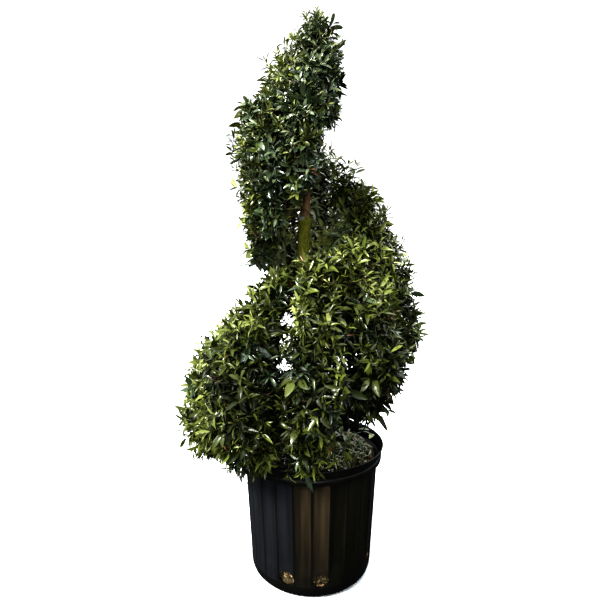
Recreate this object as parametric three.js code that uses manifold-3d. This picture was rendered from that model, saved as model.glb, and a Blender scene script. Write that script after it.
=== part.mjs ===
// Spiral topiary in its nursery pot: a broad-leaved evergreen on one bare stem, clipped into a
// ribbon of foliage that climbs one and three quarter turns round the stem and closes into a tip.
// Units are millimetres, +Z is up, and the origin is the centre of the pot's flat underside.

import * as THREE from 'three';
import { mergeVertices } from 'three/addons/utils/BufferGeometryUtils.js';
import Module from 'manifold-3d';

const wasm = await Module();
wasm.setup();

// ---------------------------------------------------------------- driving dimensions

const DEGREE = Math.PI / 180;
const GAP = 0.4;                      // clearance left between neighbouring solids

// Pot
const POT_HEIGHT = 387;
const RIM_RADIUS = 219;
const BAND_HEIGHT = 43;               // smooth collar with a groove, under the rim
const WALL_TOP_RADIUS = 201;
const WALL_FOOT_RADIUS = 184;
const FOOT_RADIUS = 165;              // flat disc that the pot stands on
const WALL = 3;
const PANELS = 24;                    // recessed panels between upright ridges
const PANEL_DEPTH = 3.2;
const RIDGE_HALF_ANGLE = 2.5;
const FIRST_RIDGE_ANGLE = 254.5;
const HOLE_RADIUS = 20;               // side drain holes, in four pairs
const HOLE_HEIGHT = 56;
const HOLE_PAIR_ANGLE = 262;
const HOLE_HALF_SPREAD = 15;

// Soil
const SOIL_EDGE_HEIGHT = 353;
const SOIL_MOUND_HEIGHT = 366;
const SOIL_MOUND_RADIUS = 52;

// Trunk: a slight S, leaning left on the way up and back to the right at the tip
const TRUNK_LINE = [
  [6, 0, SOIL_MOUND_HEIGHT + GAP],
  [-6, 3, 600],
  [-24, 2, 960],
  [-15, 4, 1110],
  [6, 2, 1350],
  [19, 0, 1606],
];
const TRUNK_RADIUS = 23;              // above the root flare
const ROOT_FLARE = 15;                // extra radius at the ground
const ROOT_FLARE_HEIGHT = 45;
const COLLAR_HEIGHT = 1085;           // the stem thins here, where a fork was pruned away
const COLLAR_RADIUS = 18;
const LEADER_RADIUS = 13.5;
const TRUNK_TIP_RADIUS = 3.5;

// Crown: the clipped outline, and by turn angle the ribbon's lower and upper edge and its share
// of the outline's radius. Turn angles are degrees anticlockwise from +X seen from above, and the
// second turn goes on past 360.
const CROWN_FOOT = 330;
const CROWN_TOP = 1646;
const CROWN_RADIUS = 412;
const CROWN_ROUNDNESS = 0.62;
const SHOULDER_HEIGHT = 1320;         // the upper turn swells here
const SHOULDER_SWELL = 55;
const SHOULDER_REACH = 120;
const RIBBON_EDGES = [
  { turn: 122, low: 500, high: 640, reach: 0.9 },
  { turn: 180, low: 330, high: 778, reach: 1.05 },
  { turn: 225, low: 363, high: 898, reach: 1.02 },
  { turn: 270, low: 420, high: 970, reach: 0.98 },
  { turn: 315, low: 520, high: 1010, reach: 0.97 },
  { turn: 360, low: 598, high: 1205, reach: 1.01 },
  { turn: 405, low: 640, high: 1203, reach: 1.09 },
  { turn: 450, low: 750, high: 1302, reach: 1.03 },
  { turn: 495, low: 860, high: 1390, reach: 0.91 },
  { turn: 540, low: 925, high: 1490, reach: 0.91 },
  { turn: 585, low: 1008, high: 1520, reach: 0.99 },
  { turn: 630, low: 1100, high: 1520, reach: 0.97 },
  { turn: 652, low: 1285, high: 1520, reach: 0.52 },
  { turn: 690, low: 1310, high: 1520, reach: 0.43 },
  { turn: 775, low: 1350, high: 1520, reach: 0.38 },
];
const TIP_SEAM = 1425;                // the ribbon's top meets the tip's underside here
const TIP_RADIUS = 119;
const TIP_ROUNDNESS = 0.55;
const TIP_FOOT_X = -32;               // the tip starts left of the axis and curls back over it
const TIP_TOP_X = 18;
const HOLLOW_LOW = 52;                // bare space round the stem, in the first turn
const HOLLOW_HIGH = 12;               // and at the end of the ribbon
const SECTION_SQUARENESS = 0.93;      // 1 is an ellipse, smaller is squarer
const UNEVENNESS = 17;
const CLUMP_EDGE = 0.13;              // how far a clump draws in where it meets the next

// Masses of foliage along the ribbon, each from its own turn angle to the next one's. A parting
// is the angle left open before a mass: sky shows between the two largest clumps.
const MASSES = [
  { name: 'foliage_tail', turn: 122 },
  { name: 'foliage_low_left', turn: 163 },
  { name: 'foliage_low_front_left', turn: 207 },
  { name: 'foliage_low_front', turn: 251, parting: 4 },
  { name: 'foliage_low_front_right', turn: 291 },
  { name: 'foliage_low_right', turn: 330 },
  { name: 'foliage_mid_right', turn: 371 },
  { name: 'foliage_mid_back', turn: 415 },
  { name: 'foliage_mid_back_left', turn: 460 },
  { name: 'foliage_mid_left', turn: 506 },
  { name: 'foliage_high_front_left', turn: 552 },
  { name: 'foliage_high_front', turn: 602 },
  { name: 'foliage_high_right', turn: 656 },
];
const PARTING = 0.8;
const RIBBON_END = 775;

// Boughs: the height where each leaves the trunk, the way it points and its upward slope. Each
// ends a little inside its mass of foliage.
const BOUGHS = [
  { name: 'bough_tail', height: 500, turn: 144, climb: 34, radius: 6.5 },
  { name: 'bough_low_left', height: 470, turn: 186, climb: 30, radius: 8.5 },
  { name: 'bough_low_front_left', height: 540, turn: 229, climb: 34, radius: 9 },
  { name: 'bough_low_front', height: 590, turn: 270, climb: 36, radius: 9 },
  { name: 'bough_low_front_right', height: 655, turn: 310, climb: 32, radius: 8.5 },
  { name: 'bough_low_right', height: 715, turn: 350, climb: 36, radius: 8.5 },
  { name: 'bough_mid_right', height: 790, turn: 392, climb: 38, radius: 8 },
  { name: 'bough_mid_back', height: 900, turn: 438, climb: 40, radius: 7.5 },
  { name: 'bough_mid_back_left', height: 1010, turn: 484, climb: 36, radius: 7 },
  { name: 'bough_mid_left', height: 1085, turn: 530, climb: 14, radius: 6 },
  { name: 'bough_high_front_left', height: 1142, turn: 577, climb: 42, radius: 5.5 },
  { name: 'bough_high_front', height: 1215, turn: 628, climb: 44, radius: 5 },
];
const BOUGH_ENTRY = 14;
const BOUGH_TAPER = 0.72;

// ---------------------------------------------------------------- small helpers

function mix(from, to, share) {
  return from + (to - from) * share;
}

function clampShare(value) {
  return Math.min(1, Math.max(0, value));
}

function signedPower(value, exponent) {
  return Math.sign(value) * Math.abs(value) ** exponent;
}

function polar(radius, degrees, height) {
  return new THREE.Vector3(
    radius * Math.cos(degrees * DEGREE),
    radius * Math.sin(degrees * DEGREE),
    height,
  );
}

// Six times the volume enclosed by an indexed mesh, negative where it is inside out
function signedVolume(positions, indices) {
  const corner = [new THREE.Vector3(), new THREE.Vector3(), new THREE.Vector3()];
  let total = 0;
  for (let i = 0; i < indices.length; i += 3) {
    corner.forEach((point, k) => point.fromArray(positions, 3 * indices[i + k]));
    total += corner[0].dot(corner[1].cross(corner[2]));
  }
  return total;
}

// A closed body skinned over rings of equal point count and closed on a point at each end
function ringSolid(rings, startPoint, endPoint) {
  const count = rings[0].length;
  const points = [startPoint, ...rings.flat(), endPoint];
  const last = points.length - 1;
  const at = (ring, k) => 1 + ring * count + (k % count);
  const indices = [];
  for (let k = 0; k < count; k += 1) {
    indices.push(0, at(0, k), at(0, k + 1));
    indices.push(last, at(rings.length - 1, k + 1), at(rings.length - 1, k));
    for (let ring = 0; ring + 1 < rings.length; ring += 1) {
      indices.push(at(ring, k), at(ring + 1, k), at(ring + 1, k + 1));
      indices.push(at(ring, k), at(ring + 1, k + 1), at(ring, k + 1));
    }
  }
  const positions = points.flatMap((point) => point.toArray());
  if (signedVolume(positions, indices) < 0) {
    indices.reverse();
  }
  const geometry = new THREE.BufferGeometry();
  geometry.setAttribute('position', new THREE.Float32BufferAttribute(positions, 3));
  geometry.setIndex(indices);
  return geometry;
}

function toManifold(geometry) {
  const bare = geometry.clone();
  bare.deleteAttribute('normal');
  bare.deleteAttribute('uv');
  const merged = mergeVertices(bare, 1e-4);
  return new wasm.Manifold(new wasm.Mesh({
    numProp: 3,
    vertProperties: new Float32Array(merged.attributes.position.array),
    triVerts: new Uint32Array(merged.index.array),
  }));
}

function fromManifold(solid) {
  const mesh = solid.getMesh();
  const geometry = new THREE.BufferGeometry();
  geometry.setAttribute('position', new THREE.BufferAttribute(mesh.vertProperties, 3));
  geometry.setIndex(new THREE.BufferAttribute(mesh.triVerts, 1));
  return geometry;
}

function cut(geometry, ...tools) {
  const body = tools.reduce((rest, tool) => rest.subtract(toManifold(tool)), toManifold(geometry));
  return fromManifold(body);
}

// A round limb along a curve, with its radius given by the share of the way along
function limbSolid(curve, radiusAt, steps, sides) {
  const frames = curve.computeFrenetFrames(steps, false);
  const rings = [];
  for (let step = 0; step <= steps; step += 1) {
    const share = step / steps;
    const centre = curve.getPointAt(share);
    const ring = [];
    for (let k = 0; k < sides; k += 1) {
      const angle = (2 * Math.PI * k) / sides;
      const across = frames.normals[step].clone().multiplyScalar(Math.cos(angle));
      across.addScaledVector(frames.binormals[step], Math.sin(angle));
      ring.push(centre.clone().addScaledVector(across, radiusAt(share)));
    }
    rings.push(ring);
  }
  return ringSolid(rings, curve.getPointAt(0), curve.getPointAt(1));
}

// ---------------------------------------------------------------- pot

// Angles round the wall: each ridge's crest, then its foot on both sides
function wallAngles() {
  const pitch = 360 / PANELS;
  const angles = [];
  for (let panel = 0; panel < PANELS; panel += 1) {
    const crest = FIRST_RIDGE_ANGLE + panel * pitch;
    angles.push({ angle: crest, crest: true });
    angles.push({ angle: crest + RIDGE_HALF_ANGLE, crest: false });
    angles.push({ angle: crest + pitch - RIDGE_HALF_ANGLE, crest: false });
  }
  return angles;
}

function potRing({ radius, height, panelled = false }) {
  return wallAngles().map(({ angle, crest }) => {
    const depth = panelled && !crest ? PANEL_DEPTH : 0;
    return polar(radius - depth, angle, height);
  });
}

function potSolid() {
  const bandFoot = POT_HEIGHT - BAND_HEIGHT;
  const outside = [
    { radius: FOOT_RADIUS, height: 0 },
    { radius: WALL_FOOT_RADIUS - 7, height: 6 },
    { radius: WALL_FOOT_RADIUS, height: 26 },
    { radius: WALL_FOOT_RADIUS + 2.5, height: 82, panelled: true },
    { radius: WALL_TOP_RADIUS - 0.5, height: bandFoot - 12, panelled: true },
    { radius: WALL_TOP_RADIUS, height: bandFoot - 4 },
    { radius: RIM_RADIUS - 6.5, height: bandFoot + 1 },
    { radius: RIM_RADIUS - 5, height: bandFoot + 15 },
    { radius: RIM_RADIUS - 8.5, height: bandFoot + 19 },
    { radius: RIM_RADIUS - 3, height: bandFoot + 23 },
    { radius: RIM_RADIUS, height: POT_HEIGHT },
  ];
  const inside = [
    { radius: RIM_RADIUS - WALL, height: POT_HEIGHT },
    { radius: RIM_RADIUS - 9 - WALL, height: bandFoot + 3 },
    { radius: WALL_TOP_RADIUS - WALL, height: bandFoot - 5 },
    { radius: WALL_TOP_RADIUS - 0.5 - WALL, height: bandFoot - 12, panelled: true },
    { radius: WALL_FOOT_RADIUS + 2.5 - WALL, height: 82, panelled: true },
    { radius: WALL_FOOT_RADIUS - WALL, height: 28 },
    { radius: FOOT_RADIUS, height: WALL + 1 },
  ];
  const rings = [...outside, ...inside].map(potRing);
  const underside = new THREE.Vector3(0, 0, 0);
  const floorInside = new THREE.Vector3(0, 0, WALL + 1);
  return ringSolid(rings, underside, floorInside);
}

function drainHole(angle) {
  const length = 60;
  const hole = new THREE.CylinderGeometry(HOLE_RADIUS, HOLE_RADIUS, length, 12);
  hole.rotateZ(90 * DEGREE);
  hole.translate(WALL_FOOT_RADIUS, 0, HOLE_HEIGHT);
  hole.rotateZ(angle * DEGREE);
  return hole;
}

function potGeometry() {
  const holes = [];
  for (let quarter = 0; quarter < 4; quarter += 1) {
    const centre = HOLE_PAIR_ANGLE + 90 * quarter;
    holes.push(drainHole(centre - HOLE_HALF_SPREAD), drainHole(centre + HOLE_HALF_SPREAD));
  }
  return cut(potSolid(), ...holes);
}

// ---------------------------------------------------------------- soil

function soilGeometry() {
  const clear = WALL + 1.5;
  const bandFoot = POT_HEIGHT - BAND_HEIGHT;
  const profile = [
    [0, WALL + 1 + GAP],
    [FOOT_RADIUS - 4, WALL + 1 + GAP],
    [WALL_FOOT_RADIUS - PANEL_DEPTH - clear, 46],
    [WALL_TOP_RADIUS - PANEL_DEPTH - clear, bandFoot - 12],
    [WALL_TOP_RADIUS - PANEL_DEPTH - clear, SOIL_EDGE_HEIGHT],
    [120, mix(SOIL_EDGE_HEIGHT, SOIL_MOUND_HEIGHT, 0.6)],
    [SOIL_MOUND_RADIUS, SOIL_MOUND_HEIGHT],
    [0, SOIL_MOUND_HEIGHT],
  ];
  const lathe = new THREE.LatheGeometry(profile.map(([r, z]) => new THREE.Vector2(r, z)), 32);
  lathe.rotateX(90 * DEGREE);
  return fromManifold(toManifold(lathe));
}

// ---------------------------------------------------------------- trunk

const trunkCurve = new THREE.CatmullRomCurve3(
  TRUNK_LINE.map(([x, y, z]) => new THREE.Vector3(x, y, z)),
  false,
  'centripetal',
);

function trunkRadius(height) {
  const foot = SOIL_MOUND_HEIGHT;
  const flare = ROOT_FLARE * Math.exp(-(((height - foot) / ROOT_FLARE_HEIGHT) ** 2));
  if (height < COLLAR_HEIGHT) {
    const share = clampShare((height - foot) / (COLLAR_HEIGHT - foot));
    return mix(TRUNK_RADIUS, COLLAR_RADIUS, share) + flare;
  }
  const leaderFoot = COLLAR_HEIGHT + 35;
  const narrowing = clampShare((height - COLLAR_HEIGHT) / (leaderFoot - COLLAR_HEIGHT));
  const tip = TRUNK_LINE.at(-1)[2];
  const share = clampShare((height - leaderFoot) / (tip - leaderFoot));
  return mix(COLLAR_RADIUS, mix(LEADER_RADIUS, TRUNK_TIP_RADIUS, share), narrowing);
}

// The point of the trunk's centre line at a height
function trunkCentre(height) {
  const foot = TRUNK_LINE[0][2];
  const tip = TRUNK_LINE.at(-1)[2];
  const curvePoint = trunkCurve.getPointAt(clampShare((height - foot) / (tip - foot)));
  return new THREE.Vector3(curvePoint.x, curvePoint.y, height);
}

// The trunk's skin, grown by a clearance. Its rings lie level, so its foot is a flat cut.
function trunkSolid(clearance) {
  const foot = TRUNK_LINE[0][2];
  const tip = TRUNK_LINE.at(-1)[2] + clearance;
  const sides = 12;
  const steps = 20;
  const rings = [];
  for (let step = 0; step <= steps; step += 1) {
    const height = mix(foot, tip, (step / steps) ** 1.15);
    const centre = trunkCentre(height);
    const ring = [];
    for (let k = 0; k < sides; k += 1) {
      const lobe = 1 + 0.12 * Math.exp(-(height - foot) / ROOT_FLARE_HEIGHT) * Math.cos(k * 2.1);
      const radius = trunkRadius(height) * lobe + clearance;
      ring.push(polar(radius, (360 * k) / sides, 0).add(centre));
    }
    rings.push(ring);
  }
  return ringSolid(rings, trunkCentre(foot), trunkCentre(tip));
}

// ---------------------------------------------------------------- crown outline

function crownRadius(height) {
  const share = clampShare((height - CROWN_FOOT) / (CROWN_TOP - CROWN_FOOT));
  const swell = SHOULDER_SWELL * Math.exp(-(((height - SHOULDER_HEIGHT) / SHOULDER_REACH) ** 2));
  return CROWN_RADIUS * (1 - share) ** CROWN_ROUNDNESS + swell;
}

function ribbonEdges(turn) {
  const next = RIBBON_EDGES.findIndex((edge, i) => i > 0 && turn <= edge.turn);
  const above = RIBBON_EDGES[next];
  const below = RIBBON_EDGES[next - 1];
  const share = (turn - below.turn) / (above.turn - below.turn);
  return {
    low: mix(below.low, above.low, share),
    high: mix(below.high, above.high, share),
    reach: mix(below.reach, above.reach, share),
  };
}

function hollowRadius(turn) {
  const share = clampShare((turn - 480) / (RIBBON_END - 480));
  return mix(HOLLOW_LOW, HOLLOW_HIGH, share);
}

// ---------------------------------------------------------------- boughs

// How far from the axis the inner face of the ribbon lies
function innerFaceRadius(turn, height) {
  const { low, high, reach } = ribbonEdges(turn);
  const rise = (2 * (height - low)) / (high - low) - 1;
  const depth = Math.sqrt(1 - Math.min(0.95, rise * rise));
  return mix(hollowRadius(turn), crownRadius(height) * reach, (1 - depth) / 2);
}

// A bough's end, moved outward until it lies inside the ribbon
function boughEnd({ height, turn, climb }, start) {
  const end = polar(hollowRadius(turn), turn, height);
  for (let pass = 0; pass < 6; pass += 1) {
    const run = Math.hypot(end.x - start.x, end.y - start.y);
    const rise = height + run * Math.tan(climb * DEGREE);
    end.copy(polar(innerFaceRadius(turn, rise) + BOUGH_ENTRY, turn, rise));
  }
  return end;
}

// A bough runs from the trunk's middle to its end, and bends upward a little on the way
function boughCurve(bough) {
  const start = trunkCentre(bough.height);
  const end = boughEnd(bough, start);
  const middle = start.clone().lerp(end, 0.55);
  middle.z -= 0.1 * start.distanceTo(end);
  return new THREE.CatmullRomCurve3([start, middle, end]);
}

function boughSolid(bough, clearance) {
  const radiusAt = (share) => bough.radius * mix(1, BOUGH_TAPER, share) + clearance;
  return limbSolid(boughCurve(bough), radiusAt, 3, 8);
}

// ---------------------------------------------------------------- foliage

// Smooth lumps, different on each mass
function lumps(turn, height, massIndex) {
  const along = turn * DEGREE;
  const first = Math.sin(5.3 * along + 0.013 * height + 1.9 * massIndex);
  const second = Math.sin(2.4 * along - 0.031 * height + 0.7 * massIndex);
  return UNEVENNESS * (0.6 * first + 0.4 * second);
}

// One cross-section of the ribbon, drawn in at the ends of a clump
function ribbonSection(turn, squeeze, massIndex, sides) {
  const { low, high, reach } = ribbonEdges(turn);
  const inner = hollowRadius(turn);
  const middle = (low + high) / 2;
  const half = ((high - low) / 2) * squeeze;
  const section = [];
  for (let k = 0; k < sides; k += 1) {
    const angle = (2 * Math.PI * k) / sides;
    const across = (1 + signedPower(Math.cos(angle), SECTION_SQUARENESS)) / 2;
    const level = middle + half * signedPower(Math.sin(angle), SECTION_SQUARENESS);
    const outer = crownRadius(level) * reach * squeeze + lumps(turn, level, massIndex);
    const radius = mix(inner, Math.max(outer, inner + 20), across);
    const height = level + 0.7 * lumps(turn + 40, radius, massIndex) * across;
    section.push(polar(radius, turn, Math.min(height, TIP_SEAM - GAP)));
  }
  return section;
}

function centreOf(ring) {
  const centre = new THREE.Vector3();
  ring.forEach((point) => centre.add(point));
  return centre.divideScalar(ring.length);
}

function ribbonMass(massIndex) {
  const mass = MASSES[massIndex];
  const next = MASSES[massIndex + 1] ?? { turn: RIBBON_END };
  const from = mass.turn + (mass.parting ?? PARTING) / 2;
  const to = next.turn - (next.parting ?? PARTING) / 2;
  const steps = Math.ceil((to - from) / 11);
  const rings = [];
  for (let step = 0; step <= steps; step += 1) {
    const share = step / steps;
    const squeeze = 1 - CLUMP_EDGE * Math.abs(2 * share - 1) ** 4;
    rings.push(ribbonSection(mix(from, to, share), squeeze, massIndex, 18));
  }
  return ringSolid(rings, centreOf(rings[0]), centreOf(rings.at(-1)));
}

// The clipped tip: rings round the leader from the seam to the topmost shoots
function tipMass() {
  const sides = 16;
  const steps = 8;
  const rings = [];
  for (let step = 0; step <= steps; step += 1) {
    const share = step / steps;
    const height = mix(TIP_SEAM, CROWN_TOP - 4, share);
    const centreX = mix(TIP_TOP_X, TIP_FOOT_X, (1 - share) ** 2);
    const ring = [];
    for (let k = 0; k < sides; k += 1) {
      const angle = (360 * k) / sides;
      const outline = TIP_RADIUS * (1 - share) ** TIP_ROUNDNESS;
      const radius = outline + 0.4 * lumps(angle, height, MASSES.length);
      const point = polar(Math.max(radius, 6), angle, height);
      point.x += centreX;
      ring.push(point);
    }
    rings.push(ring);
  }
  return ringSolid(rings, centreOf(rings[0]), centreOf(rings.at(-1)).setZ(CROWN_TOP));
}

// Everything that a mass of foliage is cut round: the trunk, the boughs and the pot's outside
function foliageTools() {
  const potOutside = new THREE.CylinderGeometry(
    RIM_RADIUS + 3,
    RIM_RADIUS + 3,
    POT_HEIGHT + 2,
    48,
  );
  potOutside.rotateX(90 * DEGREE);
  potOutside.translate(0, 0, POT_HEIGHT / 2);
  const boughs = BOUGHS.map((bough) => boughSolid(bough, 2 * GAP));
  return [trunkSolid(2 * GAP), potOutside, ...boughs];
}

// ---------------------------------------------------------------- materials

const LOOKS = {
  pot: { color: 0x24211e, roughness: 0.42 },
  soil: { color: 0x2e241b, roughness: 0.95 },
  bark: { color: 0x77703f, roughness: 0.85 },
  bough: { color: 0x7a5d43, roughness: 0.85 },
  leaf: { color: 0x35502a, roughness: 0.6 },
  youngLeaf: { color: 0x5f7a33, roughness: 0.6 },
};

function material(look) {
  return new THREE.MeshStandardMaterial({ ...LOOKS[look], metalness: 0 });
}

// ---------------------------------------------------------------- assembly

const plant = new THREE.Group();
plant.name = 'spiral_topiary';

function place(name, geometry, look) {
  const mesh = new THREE.Mesh(geometry, material(look));
  mesh.name = name;
  plant.add(mesh);
}

place('pot', potGeometry(), 'pot');
place('soil', soilGeometry(), 'soil');
place('trunk', trunkSolid(0), 'bark');

const trunkClearance = trunkSolid(GAP);
for (const bough of BOUGHS) {
  place(bough.name, cut(boughSolid(bough, 0), trunkClearance), 'bough');
}

const tools = foliageTools();
MASSES.forEach(({ name }, massIndex) => {
  const look = massIndex % 2 === 0 ? 'leaf' : 'youngLeaf';
  place(name, cut(ribbonMass(massIndex), ...tools), look);
});
place('foliage_tip', cut(tipMass(), ...tools), 'leaf');

export default plant;
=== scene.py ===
"""Looks of a clipped spiral topiary in its nursery pot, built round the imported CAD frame.

Everything is in metres in the frame's own axes: +Z is up, the origin lies under the middle of the
pot, and -Y points at the viewer. Azimuths are degrees anticlockwise from +X, seen from above.
"""

import math

import bpy
import numpy as np
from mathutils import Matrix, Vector, noise
from mathutils.bvhtree import BVHTree
from mathutils.kdtree import KDTree


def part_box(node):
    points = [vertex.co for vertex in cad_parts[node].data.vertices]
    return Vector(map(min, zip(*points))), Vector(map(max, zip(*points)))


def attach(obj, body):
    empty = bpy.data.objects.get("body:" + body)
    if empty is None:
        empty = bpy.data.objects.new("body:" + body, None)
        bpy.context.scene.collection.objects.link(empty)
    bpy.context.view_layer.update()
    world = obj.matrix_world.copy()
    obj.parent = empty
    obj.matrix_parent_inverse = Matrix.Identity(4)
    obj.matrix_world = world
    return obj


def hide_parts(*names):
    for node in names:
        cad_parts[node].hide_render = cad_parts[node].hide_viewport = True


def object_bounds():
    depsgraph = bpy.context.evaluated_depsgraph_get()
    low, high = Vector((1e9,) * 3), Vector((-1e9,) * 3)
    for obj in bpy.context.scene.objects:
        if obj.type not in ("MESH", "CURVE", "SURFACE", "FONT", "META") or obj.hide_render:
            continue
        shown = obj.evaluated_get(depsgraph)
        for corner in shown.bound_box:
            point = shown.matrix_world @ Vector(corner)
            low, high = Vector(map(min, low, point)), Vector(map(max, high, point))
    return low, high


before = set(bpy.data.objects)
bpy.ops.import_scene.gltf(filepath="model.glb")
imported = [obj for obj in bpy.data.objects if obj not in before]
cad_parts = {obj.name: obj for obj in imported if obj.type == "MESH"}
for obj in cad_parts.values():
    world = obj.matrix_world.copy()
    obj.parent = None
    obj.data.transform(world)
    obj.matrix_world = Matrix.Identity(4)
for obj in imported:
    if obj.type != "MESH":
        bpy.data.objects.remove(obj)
cad_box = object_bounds()

SEED = 41
rng = np.random.default_rng(SEED)
UP = np.array([0.0, 0.0, 1.0])

# ---------------------------------------------------------------- sizes and places

# How far each mass is like the upper turn, where the leaves are broader and cooler: 0 if not named
UPPER_SHARE = {
    "mid_back_left": 0.35, "mid_left": 0.8, "high_front_left": 1.0, "high_front": 1.0,
    "high_right": 1.0, "tip": 1.0,
}
# Each pair is for the lower turn and for the upper turn
LEAF_LENGTH = (0.034, 0.0285)
LEAF_RATIO = (0.29, 0.345)                # width to length
SHOOT_LENGTH = (0.052, 0.046)
SHOOT_GAP = (0.0225, 0.0200)              # between shoots on the skin
NODE_GAP = (0.0088, 0.0080)               # between pairs of leaves on a shoot
LOOSENESS = {"mid_back_left": 1.18, "mid_left": 1.12, "high_right": 1.06, "tip": 1.05}
LARGE_LEAF, LARGE_SHARE = 0.047, 0.08     # the few shoots of larger leaves
BROAD_RATIO = 0.34                        # leaves broader than this are fullest past the middle
INNER_GAP = 0.040                         # between the shaded shoots under the skin
SEAM_GAP = 0.007                          # masses closer than this meet without a skin between
STEM_CLEARANCE, STEM_GAP = 0.04, 0.028    # bare space round the stem, low down and everywhere
MAX_PROUD = 0.012                         # how far leaves may pass the CAD box
FORK_SHARE = 0.40                         # where a limb parts, on its way to its shoots
THICK_LIMB, BROWN_LIMB = 12, 3            # shoots on a limb that make it rounder, and make it brown
LEADER_TWIG = 0.0042                      # radius of the limbs that grow from the leader itself
LEADER_FOOT, LEADER_STEP = 1.26, 0.035    # their lowest root, and the space between roots
GIRTH_POWER, LEAST_GIRTH = 0.42, 0.0009   # a limb's radius goes by the shoots it carries
TRIES = 7                                 # places tried on the skin for each shoot
SHOOT_RADIUS = (0.00125, 0.0007)          # at a shoot's foot and at its tip

POT_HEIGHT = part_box("pot")[1].z
RIM_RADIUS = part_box("pot")[1].x
WALL = 0.003
BAND_HEIGHT = 0.043
BAND_FOOT = POT_HEIGHT - BAND_HEIGHT
RIDGE_HALF_WIDTH = 0.0048
WALL_TOP_RADIUS = RIM_RADIUS - 0.018
WALL_FOOT_RADIUS = RIM_RADIUS - 0.035
FOOT_RADIUS = RIM_RADIUS - 0.054
PANELS = 24
PITCH = 360 / PANELS
PANEL_DEPTH = 0.0032                      # in the middle of a panel, which is flat across
PANEL_EDGE_DEPTH = 0.0018
FIRST_RIDGE = 254.5
HOLE_HEIGHT, HOLE_RADIUS = 0.056, 0.0222
HOLE_AZIMUTHS = [262 + 90 * quarter + side for quarter in range(4) for side in (-15, 15)]
SOIL_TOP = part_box("soil")[1].z
SOIL_EDGE = SOIL_TOP - 0.013
CHIPS, CHIPS_PER_HOLE, LITTER = 900, 46, 640
LITTER_MIX = {2: 0.20, 3: 0.28, 4: 0.24, 5: 0.12, 7: 0.06, 11: 0.10}    # by place in LEAF_COLOURS

# Openings where no leaf grows: a point on each, the way it runs, its radius and its end in Y. Two
# lie between the largest clumps and show the sky, and two show the stem at its collar.
OPENINGS = [
    ((-0.062, -0.36, 0.814), (-0.027, 1.0, -0.142), 0.020, 0.40),
    ((-0.070, -0.36, 0.706), (-0.035, 1.0, -0.249), 0.022, 0.40),
    ((-0.013, -0.02, 1.112), (0.01, 1.0, 0.11), 0.024, 0.0),
    ((-0.056, -0.06, 1.066), (-0.03, 1.0, 0.07), 0.024, -0.02),
]
OPENING_RAGGED = 0.35                     # how far an opening's edge strays, as a share of its radius

BRONZE_SHARE = 0.005                      # of the leaves
TRUNK_RINGS, TRUNK_SIDES, STUB_SIDES, BOUGH_SIDES = 420, 44, 20, 16
TRUNK_RELIEF, LIMB_RELIEF = 0.0011, 0.0005           # depth of the furrows in the bark
COLLAR_HEIGHT, COLLAR_TOP = 1.048, (1.056, 1.070)    # over the second, moss gives way to brown bark
SCARS = [(1.045, 232, 0.0045), (1.012, 300, 0.003), (0.975, 238, 0.0025), (0.70, 90, 0.004)]
# The hollow beside the stem lies in shade; its leaves are painted lighter there, as painted light and glints.
LEFT_OF_STEM = np.array([-0.080, 0.05, 1.01])    # the middle of a light hollow beside the stem
# Where leaves are made lighter, or below zero darker: partly younger or older leaves, and partly
# painted light and painted shade for where the light falls or fails. Azimuth, its reach, height,
# its reach and by how much
TONES = [
    (196, 34, 0.62, 0.16, 0.22), (265, 45, 0.46, 0.12, 0.10), (235, 26, 0.58, 0.16, -0.26),
    (316, 22, 0.50, 0.14, -0.50), (275, 35, 1.20, 0.15, -0.02), (270, 60, 0.70, 0.14, -0.18),
    (40, 50, 1.10, 0.14, 0.36), (215, 34, 0.78, 0.07, 0.16),
]
# Where the shoots stop short of the skin: azimuth, its reach, height, its reach, and by how much.
# Below zero they pass it.
CLIPPED_BACK = [
    (24, 22, 1.22, 0.08, 0.042), (192, 34, 1.40, 0.05, 0.034), (4, 28, 1.165, 0.060, 0.048),
    (180, 40, 1.47, 0.06, -0.022), (178, 30, 0.960, 0.050, 0.036), (350, 22, 0.93, 0.06, -0.016),
    (190, 26, 1.24, 0.08, -0.020), (308, 24, 0.53, 0.056, 0.062), (345, 16, 0.575, 0.04, 0.016),
]

SKY_BELOW, SKY_ABOVE = 0.07, 1.10          # the surround as a light, at the nadir and at the zenith
SKY_LEFT, SKY_RIGHT = 1.10, 0.50           # and how much of it there is on each side
# Name, the direction it shines from, strength, degrees across, colour
LIGHTS = [
    ("key", (-1.0, -0.7, 1.2), 5.6, 22, (1.0, 0.99, 0.94)),
    ("rim", (0.9, 0.3, 1.8), 1.1, 60, (0.95, 0.98, 1.0)),
    ("back", (0.5, 1.0, 0.9), 1.0, 60, (0.95, 0.98, 1.0)),
    ("front", (-0.1, -1.0, 0.55), 0.3, 60, (0.92, 0.97, 1.0)),
    ("level", (0.10, -1.0, 0.06), 0.9, 20, (0.95, 0.98, 1.0)),
]
EYE, LOOKING_DOWN = (-0.034, -1.386, 0.961), 5.86    # the camera's place, and degrees below level
FLOOR_REACH = 400.0

# ---------------------------------------------------------------- arithmetic helpers


def lengths(vectors):
    return np.linalg.norm(vectors, axis=-1)


def unit(vectors):
    return vectors / np.maximum(lengths(vectors)[..., None], 1e-9)


def mix(low, high, share):
    return low + (high - low) * share


def smooth(value, low, high):
    share = np.clip((value - low) / (high - low), 0.0, 1.0)
    return share * share * (3 - 2 * share)


def square_to(vectors, axes):
    """What is left of vectors at right angles to the unit vectors axes."""
    return vectors - axes * np.sum(vectors * axes, axis=-1, keepdims=True)


def azimuth(points):
    return np.degrees(np.arctan2(points[..., 1], points[..., 0])) % 360


def from_axis(points):
    """How far points are from the upright axis of the pot."""
    return np.hypot(points[:, 0], points[:, 1])


def outward_at(points):
    return unit(points * np.array([1.0, 1.0, 0.0]))


def faces_stem(points, normals):
    """Whether the skin at points looks inward, to the stem."""
    return np.sum(normals * outward_at(points), axis=1) < -0.2


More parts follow.
